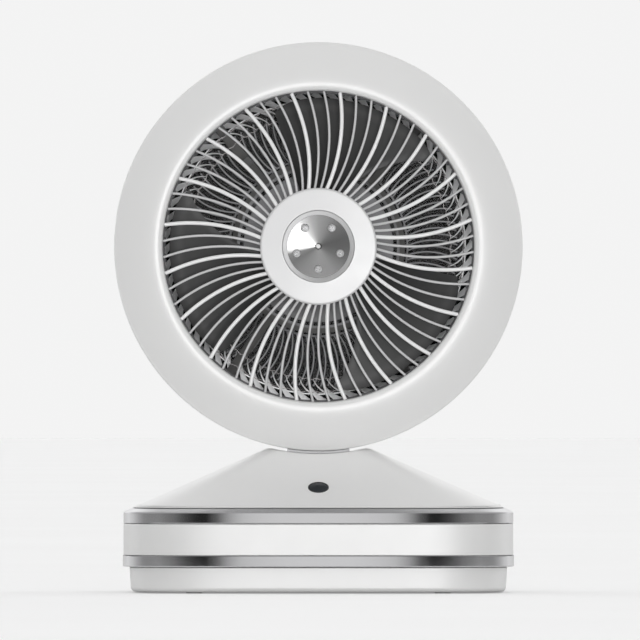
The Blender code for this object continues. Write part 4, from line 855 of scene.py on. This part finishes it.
def make_rear_grille():
    low, high = -49.2, -46.2
    hub, ribs, vanes = bmesh.new(), bmesh.new(), bmesh.new()
    disc = soft_path(mm(
        (4, -45.2, 0), (31.3, -45.2, 0.2), (31.3, -42, 0.2), (34, -42, 0.5), (34, high, 0.5),
        (57.2, high, 0.4), (57.2, low, 0.6), (30, low, 0.6), (29.4, low + 0.6, 0.3), (4, low + 0.6, 0),
    ))
    add_turned(hub, disc, 192)
    add_ring(hub, 67.2, 68.6, low, high + 0.5)
    add_ring(hub, 116.3, 117.5, low, high)
    add_ring(ribs, 60, 63.6, low, high + 0.2)
    for number in range(60):
        add_bar(hub, 6 * number + 1, 56.5, 68, 0.0, 2.8, low + 0.4, high - 0.3, 1, 2)
        add_slat(vanes, (117.6, 6 * number + 2), (106, 6 * number - 3.8), 5.0, high, high + 3.6)
        add_slat(vanes, (111, 6 * number + 2.7), (101, 6 * number - 2.2), 1.3, high, high + 1.6)
    for number in range(120):
        add_bar(ribs, 3 * number + 1, 68, 106, -4, 1.15, low + 0.2, high - 0.5, 9, 2)
    add_ring(vanes, 111.6, 112.5, high - 1, high + 0.6, 0.2, 0.2)
    for name, shape, material, sharp in (
        ("rear_grille_hub", hub, REAR_HUB_GREY, 40), ("rear_grille_ribs", ribs, REAR_GREY, 60),
        ("rear_grille_vanes", vanes, VANE_GREY, 60),
    ):
        finish_piece(name, shape, material, "head", "grey_plastic", ("rear_grille",), sharp, HEAD_TURN)


NET_PITCH = 0.6 * MM
NET_WIRE = 0.25 * MM
NET_BACK = -48.4 * MM
NET_REACHES = (117.6 * MM, 56 * MM)


def make_net():
    """Fine crossed wires in the rear grille, from its rim to its disc."""
    shape = bmesh.new()
    count = int(NET_REACHES[0] / NET_PITCH)
    for line in range(-count, count + 1):
        across = line * NET_PITCH
        end, start = (math.sqrt(max(reach**2 - across**2, 0.0)) for reach in NET_REACHES)
        near, far = across - NET_WIRE, across + NET_WIRE
        for first, last in ((-end, -start), (start, end)) if start else ((-end, end),):
            spots = [(first, near), (last, near), (last, far), (first, far)]
            for base, turned in ((NET_BACK, spots), (NET_BACK + 0.25 * MM, [(y, x) for x, y in spots])):
                add_loft(shape, [[(*spot, base + rise) for spot in turned] for rise in (0.0, 0.24 * MM)])
    finish_piece("dust_net", shape, NET_DARK, "head", "dark_plastic", (), 60, HEAD_TURN)


def make_motor_screws():
    screw = (
        (0.0, -49.5, 0), (1.2, -49.5, 0.1), (1.4, -50.4, 0.1), (3.1, -50.1, 0.6), (3.2, -48.4, 0),
        (0.0, -48.4, 0),
    )
    make_screws("motor_screw", screw, SCREW_STEEL, 23, 45, 4, 40)


# Neck, and the trim that fills the saddle in front of it
NECK_FRONT = -6 * MM
NECK_BACK = 16 * MM
NECK_FOOT = 101 * MM
NECK_SHOULDER = 113 * MM
HINGE_HEIGHT = 124 * MM
HINGE_DEPTH = 5 * MM
BARREL_RADIUS = 11 * MM
TRIM_HALF = 23.6 * MM
TRIM_FRONT = -38.6 * MM
TRIM_BACK = -10.5 * MM
TRIM_RADII = (157.2 * MM, 155.3 * MM)


def neck_outline(shrink, barrel):
    """The neck from its side: a block, or the slimmer part that ends in the hinge's barrel."""
    top = NECK_SHOULDER
    if barrel:
        top = HINGE_HEIGHT
        shrink += 0.2 * MM
    path = [(NECK_FRONT + shrink, NECK_FOOT), (NECK_FRONT + shrink, top)]
    if barrel:
        for step in range(1, 24):
            across, up = polar(BARREL_RADIUS - shrink, math.pi * (1 - step / 24))
            path.append((HINGE_DEPTH + across, top + up))
    return path + [(NECK_BACK - shrink, top), (NECK_BACK - shrink, NECK_FOOT)]


def make_neck():
    shape = bmesh.new()
    for half, barrel in ((23.5, False), (22, True)):
        add_loft(shape, [
            [(across * MM, y, z) for y, z in neck_outline(shrink * MM, barrel)]
            for across, shrink in mirrored(((half - 1, 0.0), (half - 0.3, 0.3), (half, 1.0)))
        ])
    add_soft_box(shape, *mm((-30, -11, 98.6), (30, 21, 102.4)), 0.8 * MM)
    finish_piece("neck_block", shape, NECK_GREY, "turret", "grey_plastic", ("neck",), 40)
    soft = 0.3 * MM
    sections = []
    for step in range(25):
        x = TRIM_HALF * (2 * step / 24 - 1)
        low, high = (HEAD_HEIGHT - math.sqrt(radius**2 - x**2) for radius in TRIM_RADII)
        sections.append([
            (x, TRIM_FRONT + soft, low), (x, TRIM_FRONT, low + soft), (x, TRIM_FRONT, high - soft),
            (x, TRIM_FRONT + soft, high), (x, TRIM_BACK, high), (x, TRIM_BACK, low),
        ])
    shape = bmesh.new()
    add_loft(shape, sections)
    finish_piece("neck_trim", shape, NECK_GREY, "turret", "grey_plastic", (), 40)


# Base
LOWER_BAND_HALF = (148.3 * MM, 120 * MM)
COVER_FOOT = 64.4 * MM
COVER_LEDGE = 109.3 * MM
RIM_SOFT = 1.3 * MM
RIM_REACH = 1.9 * MM
RIM_STEPS = 7
WINDOW_HEIGHT = 80.1 * MM
PANEL_HEIGHT = 84 * MM


def pyramid_half(height):
    """Half sizes of the cover's outline at a height."""
    share = (height - SLOPE_START) / (PYRAMID_TOP - SLOPE_START)
    return tuple(low + (top - low) * share for low, top in zip(BAND_HALF, TOP_HALF))


def ring_piece(name, rows, *finish, closed=True, sharp=35, **kept):
    """A piece between plan outlines, each given by its half sizes and height."""
    shape = bmesh.new()
    rows = braced([(*half, height) for half, height in rows], closed)
    add_loft(shape, [plan_ring(row[:2], row[2]) for row in rows], closed=closed)
    return finish_piece(name, shape, *finish, sharp=sharp, **kept)


def band_rows(half, low, high, edge, bevel, wall):
    """A straight band with soft outer edges and an open middle."""
    outer = [
        (inset(half, edge), low), (inset(half, bevel), low + bevel), (half, low + edge),
        (half, high - edge), (inset(half, bevel), high - bevel), (inset(half, edge), high),
    ]
    return outer + [(inset(half, wall), high), (inset(half, wall), low)]


def make_bands():
    rows = band_rows(LOWER_BAND_HALF, *(size * MM for size in (20.1, 28.4, 0.5, 0.12, 2)))
    ring_piece("band_chrome_lower", rows, CHROME, "turret", "chrome", ("lower_trim_band",))
    rows = band_rows(BAND_HALF, *(size * MM for size in (28.7, 52.5, 0.6, 0.15, 2.5)))
    ring_piece("band_white", rows, BAND_WHITE_PAINTED_SHADE, "turret", "white_gloss", ("body_band",))
    half = BAND_HALF
    low, high = 52.8 * MM, 64.1 * MM
    top, wall = pyramid_half(high), 4 * MM
    rows = [
        (inset(half, 0.4 * MM), low), (half, low + 0.4 * MM), (half, SLOPE_START - 0.6 * MM),
        (inset(half, 0.3 * MM), SLOPE_START + 0.1 * MM), (pyramid_half(62 * MM), 62 * MM),
        (pyramid_half(high - 0.2 * MM), high - 0.2 * MM), (inset(top, 0.5 * MM), high),
        (inset(top, wall), high), (inset(half, wall), 59.2 * MM), (inset(half, wall), low),
    ]
    ring_piece("band_chrome_upper", rows, BAND_CHROME, "turret", "chrome", ("upper_trim_band",), sharp=50)


def cap_height(x):
    """The saddle, or the flat ledge beside it."""
    return min(COVER_LEDGE, HEAD_HEIGHT - math.sqrt(SADDLE_RADIUS**2 - x**2))


def slope_frame(height, side):
    """On the middle of the front (-1) or rear (1) slope, with z out of the slope."""
    tilt = math.atan2(PYRAMID_TOP - SLOPE_START, BAND_HALF[1] - TOP_HALF[1])
    place = Matrix.Translation((0.0, side * pyramid_half(height)[1], height))
    return place @ Matrix.Rotation(-side * tilt, 4, "X")


def slope_point(index, height):
    """A point of the cover's slope, in one direction."""
    return (*plan_point(pyramid_half(height), index), height)


def rim_height(index):
    """Where the slope meets the saddle or the ledge, in one direction."""
    low, high = COVER_FOOT, COVER_LEDGE
    for _ in range(30):
        middle = (low + high) / 2
        if middle < cap_height(slope_point(index, middle)[0]):
            low = middle
        else:
            high = middle
    return low


def rounded_rim(index, rim):
    """Points of the soft edge between the slope and the saddle, in one direction."""
    first = Vector(slope_point(index, rim - RIM_SOFT))
    x, y, _ = slope_point(index, rim)
    corner = Vector((x, y, rim))
    share = 1 - RIM_REACH / math.hypot(x, y)
    last = Vector((x * share, y * share, cap_height(x * share)))
    points = []
    for step in range(RIM_STEPS + 1):
        part = step / RIM_STEPS
        points.append(tuple(first * (1 - part) ** 2 + corner * 2 * part * (1 - part) + last * part**2))
    return points


def make_cover():
    rims = [rim_height(index) for index in range(PLAN_STEPS)]
    levels = 14
    rings = []
    for level in range(levels + 1):
        rings.append([
            slope_point(index, COVER_FOOT + (rim - RIM_SOFT - COVER_FOOT) * level / levels)
            for index, rim in enumerate(rims)
        ])
    edges = [rounded_rim(index, rim) for index, rim in enumerate(rims)]
    rings += [list(ring) for ring in zip(*edges)][1:]
    edge = rings[-1]
    for step in range(1, 13):
        share = 1 - step / 12.5
        rings.append([(x * share, y * share, cap_height(x * share)) for x, y, height in edge])
    first = [(x * 0.996, y * 0.996, height) for x, y, height in rings[0]]
    rings[0] = [(x, y, height + 0.5 * MM) for x, y, height in rings[0]]
    rings.insert(0, first)
    shape = bmesh.new()
    add_loft(shape, rings, capped=False)
    shape.verts.ensure_lookup_table()
    shape.faces.new(shape.verts[-PLAN_STEPS:])
    cover = finish_piece("cover_pyramid", shape, WHITE, "turret", "white_gloss", ("pyramid_cover",), 40)
    wall = cover.modifiers.new("wall", "SOLIDIFY")
    wall.thickness = 2.4 * MM
    wall.offset = -1.0
    cut(
        cover,
        box_tool((-23.8, -6.3, 90), (23.8, 16.3, 130), 0.5),
        rod_tool(8, -6, 6, slope_frame(WINDOW_HEIGHT, -1), 96),
        box_tool((-46.3, -15.3, -6), (46.3, 15.3, 6), 2.3, 5, slope_frame(PANEL_HEIGHT, 1)),
    )


# Controls
KEY_PLACES = (-33 * MM, -19 * MM, -5 * MM, 9 * MM)
ROCKER_PLACE = 28 * MM
ROCKER_REACH = 9.3 * MM
MARK_WIDTH = 0.4 * MM
MARK_LEVEL = 9 * MM


def make_window():
    place = slope_frame(WINDOW_HEIGHT, -1)
    lens = mm((0.0, 0.15), (3, 0.12), (5.5, 0.02), (6.9, -0.12), (7.1, -0.5), (7.1, -2.4), (0.0, -2.4))
    turned_piece("ir_lens", lens, LENS, "turret", "smoke_lens", ("ir_window",), segments=96, place=place)
    rim = ((7.15, 0.12, 0.15), (7.85, 0.12, 0.15), (7.85, -2.4, 0), (7.15, -2.4, 0))
    soft_piece("ir_lens_rim", rim, DARK, "turret", "smoke_lens", (), segments=96, place=place)


def add_arc(shape, centre, radius, width, start, end, low, high, steps=20):
    """A flat printed arc between two angles in degrees."""
    near, far = radius - width / 2, radius + width / 2
    sections = []
    for step in range(steps + 1):
        angle = math.radians(start + (end - start) * step / steps)
        across, up = math.cos(angle), math.sin(angle)
        sections.append([
            (centre[0] + reach * across, centre[1] + reach * up, height)
            for reach, height in ((near, low), (far, low), (far, high), (near, high))
        ])
    add_loft(shape, sections)


def add_panel_marks(marks):
    """One generic mark over each key: power, heat level, swing and timer."""
    low, high = 0.0, 0.06 * MM
    power, heat, swing, timer = KEY_PLACES

    def box(x, left, bottom, right, top):
        left, bottom, right, top = (size * MM for size in (left, bottom, right, top))
        add_soft_box(marks, (x + left, MARK_LEVEL + bottom, low), (x + right, MARK_LEVEL + top, high), 0)

    def arc(x, rise, radius, start, end):
        centre = (x, MARK_LEVEL + rise * MM)
        add_arc(marks, centre, radius * MM, MARK_WIDTH, start, end, low, high)

    arc(power, 0, 1.6, 120, 420)
    box(power, -0.2, 0.3, 0.2, 2.2)
    for bar in range(3):
        start = 1.4 * bar - 1.8
        box(heat, start, -1.4, start + 0.8, bar - 0.4)
    arc(swing, 0, 1.9, 200, 340)
    for side in (-1, 1):
        arc(swing + side * 1.8 * MM, -0.4, 0.5, 0, 360)
    arc(timer, 0, 1.8, 0, 360)
    box(timer, -0.2, 0, 0.2, 1.2)
    box(timer, 0, -0.2, 0.9, 0.2)


def make_rocker(place):
    outline = []
    for step in range(17):
        y = ROCKER_REACH * (step / 8 - 1)
        outline.append((y, 0.8 * MM + 0.7 * MM * (y / ROCKER_REACH) ** 2))
    outline += [(ROCKER_REACH, -2.2 * MM), (-ROCKER_REACH, -2.2 * MM)]
    sections = []
    for across, shrink in mirrored(((5.9, 0.0), (6.3, 0.1), (6.6, 0.5))):
        sections.append([(across * MM, y, height - shrink * MM) for y, height in outline])
    shape = bmesh.new()
    add_loft(shape, sections)
    finish_piece("rocker_cap", shape, DARK, "rocker", "dark_plastic", ("power_switch",), 50, place)
    marks = bmesh.new()
    low, high = 0.9 * MM, 1.16 * MM
    add_soft_box(marks, (-0.3 * MM, 3.6 * MM, low), (0.3 * MM, 6.2 * MM, high), 0)
    add_arc(marks, (0.0, -5 * MM), 1.3 * MM, 0.5 * MM, 0, 360, low, high, 32)
    finish_piece("rocker_marks", marks, MARK_WHITE, "rocker", "dark_plastic", (), 40, place)


def make_panel():
    place = slope_frame(PANEL_HEIGHT, 1)
    key_places = [place @ Matrix.Translation((spot, 0.0, 0.0)) for spot in KEY_PLACES]
    rocker_place = place @ Matrix.Translation((ROCKER_PLACE, 0.0, 0.0))
    outline = soft_path(mm((46, 15, 2), (46, -15, 2), (-46, -15, 2), (-46, 15, 2)))
    sections = []
    for shrink, height in (
        (0.4, -2.5), (0.4, -0.5), (0.0, -0.4), (0.0, -0.05), (0.12, 0.12), (0.4, 0.2), (1.6, 0.2), (1.9, 0.0),
    ):
        across, up = 1 - shrink / 46, 1 - shrink / 15
        sections.append([(x * across, y * up, height * MM) for x, y in outline])
    shape = bmesh.new()
    add_loft(shape, sections)
    panel = finish_piece(
        "panel_plate", shape, PANEL_GREY, "turret", "grey_plastic", ("control_panel",), 40, place
    )
    tools = [rod_tool(5, -4, 4, key_place) for key_place in key_places]
    cut(panel, *tools, box_tool((-7, -10, -4), (7, 10, 4), 0.6, place=rocker_place))
    key = ((0.0, 1.25, 0), (3.0, 1.35, 1), (4.6, 1.5, 0.7), (4.6, -5.5, 0), (0.0, -5.5, 0))
    for number, key_place in enumerate(key_places, 1):
        soft_piece(
            f"key_cap_{number}", key, KEY_GREY, f"key_{number}", "grey_plastic", (f"button_{number}",),
            segments=64, place=key_place,
        )
    marks = bmesh.new()
    add_panel_marks(marks)
    finish_piece("panel_marks", marks, MARK_WHITE, "turret", "grey_plastic", (), 40, place)
    make_rocker(rocker_place)


# Plinth
PLINTH_HALF = (143.2 * MM, 115.5 * MM)
PLINTH_FOOT = 1 * MM
PLINTH_FILLET = 3.5 * MM
GLAND_PLACE = (60 * MM, 0.0, 10 * MM)
FOOT_PLACES = ((94, 85), (-94, 85), (-94, -85), (94, -85))


def make_plinth():
    full = PLINTH_HALF
    low_half = inset(full, 0.9 * MM)
    inner = inset(full, 3.2 * MM)
    lip = inset(inner, 3.5 * MM)
    rows = [(inner, 17.1 * MM), (inner, 8 * MM), (lip, 4.5 * MM), (lip, PLINTH_FOOT)]
    for step in range(9):
        turn = math.radians(90 - 90 * step / 8)
        across, up = PLINTH_FILLET * (1 - math.cos(turn)), PLINTH_FILLET * (1 - math.sin(turn))
        rows.append((inset(low_half, across), PLINTH_FOOT + up))
    rows += [(inset(full, edge), height) for edge, height in mm((0.01, 19.1), (0.15, 19.45), (0.5, 19.6))]
    plinth = ring_piece("plinth_body", rows, WHITE, "base", "white_gloss", ("plinth_shell",), closed=False)
    back = Matrix.Translation(GLAND_PLACE) @ Matrix.Rotation(-math.pi / 2, 4, "X")
    cut(plinth, rod_tool(6, 106, 130, back))
    gland = (
        (3.3, 119.3, 0.3), (5.4, 119.3, 0.8), (5.9, 117.4, 0.3), (7.8, 117.2, 0.5), (7.8, 115.9, 0.3),
        (5.7, 115.9, 0.2), (5.7, 109.2, 0), (3.3, 109.2, 0),
    )
    soft_piece("gland_sleeve", gland, RUBBER, "base", "rubber", ("cord_gland",), segments=64, place=back)
    foot = (
        (0.0, 5, 0), (3, 5, 0.4), (3, 0.7, 0), (6, 0.7, 0.15), (5.7, 0.0, 0.25), (4.4, 0.0, 0.05),
        (4.3, 0.2, 0.05), (3.7, 0.2, 0.05), (3.6, 0.0, 0.05), (0.0, 0.0, 0),
    )
    for number, (x, y) in enumerate(FOOT_PLACES, 1):
        soft_piece(
            f"foot_pad_{number}", foot, FOOT_GREY, "base", "rubber", (f"foot_{number}",),
            segments=48, place=Matrix.Translation((x * MM, y * MM, 0.0)),
        )


# Floor, light and camera
def stage_sheet(name, corners, material):
    data = bpy.data.meshes.new(name)
    data.from_pydata(corners, [], [(0, 1, 2, 3)])
    data.materials.append(material)
    made = bpy.data.objects.new(name, data)
    bpy.context.scene.collection.objects.link(made)
    return made


FLOOR_REACH = 40.0


def make_floor():
    made = Finish("floor_pale")
    made.set(
        Base_Color=made.ramp(made.noise(1.5), (0.3, 0.65), (0.7, 0.67)),
        Roughness=0.6,
        Specular_IOR_Level=0.0,
        Emission_Color=(1.0, 1.0, 1.0, 1.0),
        Emission_Strength=made.spread(made.add("LightPath").outputs["Is Camera Ray"], 0.0, 0.30),
    )
    corners = [(x * FLOOR_REACH, y * FLOOR_REACH, 0.0) for x, y in ((-1, -1), (1, -1), (1, 1), (-1, 1))]
    stage_sheet("floor", corners, made.material)


# Levels of the cards along each, by metres from the middle. The first two mirror about it.
FRONT_CARD = (
    (0.03, 0.66), (0.075, 0.56), (0.106, 0.36), (0.143, 0.12), (0.196, 0.018), (0.25, 0.018),
    (0.355, 0.058), (0.56, 0.155), (0.98, 0.227), (1.25, 0.24),
)
REAR_CARD = (
    (0.05, 0.64), (0.08, 0.36), (0.10, 0.08), (0.12, 0.08), (0.14, 0.30), (0.17, 0.50), (0.25, 0.56),
    (0.5, 0.62), (0.9, 0.70),
)
SIDE_CARD = ((-1.2, 0.235), (-0.6, 0.24), (-0.32, 0.26), (0.04, 0.38), (0.53, 0.59), (1.2, 0.70))
CARD_HALF = 1.25
CARD_LOW = -0.1


def make_card(name, spot, turn, levels, high=0.22):
    """A studio card that only polished surfaces see, brighter and darker along its width."""
    made = Finish(name)
    across = made.add("SeparateXYZ", {"Vector": made.where()}).outputs["X"]
    share = made.share(across, -CARD_HALF, CARD_HALF)
    level = made.ramp(share, *(((place / CARD_HALF + 1) / 2, value) for place, value in levels))
    glow = made.add("Emission", {"Color": level, "Strength": 1.0})
    made.tree.links.new(glow.outputs["Emission"], made.tree.nodes["Material Output"].inputs["Surface"])
    ends = ((-CARD_HALF, CARD_LOW), (CARD_HALF, CARD_LOW), (CARD_HALF, high), (-CARD_HALF, high))
    card = stage_sheet(name, [(x, 0.0, z) for x, z in ends], made.material)
    card.location = (*spot, 0.0)
    card.rotation_euler = (0.0, 0.0, math.radians(turn))
    card.visible_camera = card.visible_diffuse = card.visible_shadow = card.visible_transmission = False


def make_reflectors():
    make_card("card_front", (0.0, -1.15), 0, mirrored(FRONT_CARD), 0.6)
    make_card("card_rear", (0.0, 1.15), 0, mirrored(REAR_CARD))
    make_card("card_left", (-1.2, 0.0), 90, SIDE_CARD)
    make_card("card_right", (1.2, 0.0), 90, SIDE_CARD)


def make_sun(name, direction, spread, power, glossy=False):
    """A broad soft light from one direction, given towards the light."""
    data = bpy.data.lights.new(name, "SUN")
    data.angle = math.radians(spread)
    data.energy = power
    made = bpy.data.objects.new(name, data)
    made.rotation_euler = Vector(direction).to_track_quat("Z", "Y").to_euler()
    bpy.context.scene.collection.objects.link(made)
    made.visible_glossy = glossy
    return made


def linked(name, state, *pieces):
    """A collection for light linking that takes some pieces in or leaves them out."""
    made = bpy.data.collections.new(name)
    for piece in pieces:
        made.objects.link(bpy.data.objects[piece])
    for item in made.collection_objects:
        item.light_linking.link_state = state
    return made


# Places and levels of the room's light, from behind the camera to behind the fan
ROOM_LIGHT = ((0.6, 0.34), (0.9, 1.1))


def make_world():
    """A studio room with a bright wall behind the fan, and a plain pale backdrop for the camera."""
    world = bpy.data.worlds.new("studio")
    world.use_nodes = True
    nodes, links = world.node_tree.nodes, world.node_tree.links
    room = nodes["Background"]
    where = nodes.new("ShaderNodeTexCoord")
    split = nodes.new("ShaderNodeSeparateXYZ")
    links.new(where.outputs["Generated"], split.inputs["Vector"])
    ramp = nodes.new("ShaderNodeValToRGB")
    for element, (position, level) in zip(ramp.color_ramp.elements, ROOM_LIGHT):
        element.color = (level, level, level, 1.0)
        element.position = position
    links.new(split.outputs["Y"], ramp.inputs["Fac"])
    links.new(ramp.outputs["Color"], room.inputs["Color"])
    backdrop = nodes.new("ShaderNodeBackground")
    backdrop.inputs["Color"].default_value = (0.90, 0.90, 0.90, 1.0)
    seen = nodes.new("ShaderNodeLightPath")
    mix = nodes.new("ShaderNodeMixShader")
    links.new(seen.outputs["Is Camera Ray"], mix.inputs["Fac"])
    links.new(room.outputs["Background"], mix.inputs[1])
    links.new(backdrop.outputs["Background"], mix.inputs[2])
    links.new(mix.outputs["Shader"], nodes["World Output"].inputs["Surface"])
    bpy.context.scene.world = world


CAMERA_DISTANCE = 14.0
CAMERA_RISE = math.radians(-0.2)
CAMERA_TARGET = Vector((0.0012, -0.045, 0.2067))
SENSOR = 36.0
PIXEL = 0.7581 * MM


def make_light_and_camera():
    make_sun("key_soft", (-0.05, -1.0, 0.20), 65, 0.15)
    key = make_sun("key_small", (0.08, -1.0, -0.04), 12, 0.84, glossy=True)
    key.light_linking.receiver_collection = linked(
        "key_receivers", "EXCLUDE", "band_chrome_lower", "band_chrome_upper"
    )
    key.light_linking.blocker_collection = linked("key_blockers", "EXCLUDE", "floor")
    fill = make_sun("grille_fill", (0.0, -1.0, 0.06), 20, 4.2)
    fill.light_linking.receiver_collection = linked(
        "fill_receivers", "INCLUDE", "rear_grille_hub", "rear_grille_ribs", "rear_grille_vanes"
    )
    make_sun("top", (0.0, -0.18, 1.0), 80, 1.0)
    make_sun("left", (-1.0, 0.75, 0.25), 30, 1.15)
    make_sun("right", (1.0, 0.75, 0.25), 30, 1.15)
    make_sun("back", (0.1, 1.0, 0.30), 50, 0.15)
    make_world()
    data = bpy.data.cameras.new("camera")
    data.sensor_width = SENSOR
    data.lens = SENSOR * CAMERA_DISTANCE / (640 * PIXEL)
    data.clip_end = 100.0
    camera = bpy.data.objects.new("camera", data)
    away = Vector((0.0, -math.cos(CAMERA_RISE), math.sin(CAMERA_RISE)))
    camera.location = CAMERA_TARGET + away * CAMERA_DISTANCE
    camera.rotation_euler = (math.pi / 2 - CAMERA_RISE, 0.0, 0.0)
    bpy.context.scene.collection.objects.link(camera)
    bpy.context.scene.camera = camera
    bpy.context.scene.view_settings.view_transform = "Standard"


make_front_ring()
make_rear_shell()
make_front_grille()
make_hub()
make_impeller()
make_heater()
make_rear_grille()
make_net()
make_motor_screws()
make_neck()
make_bands()
make_cover()
make_window()
make_panel()
make_plinth()
make_floor()
make_reflectors()
make_light_and_camera()
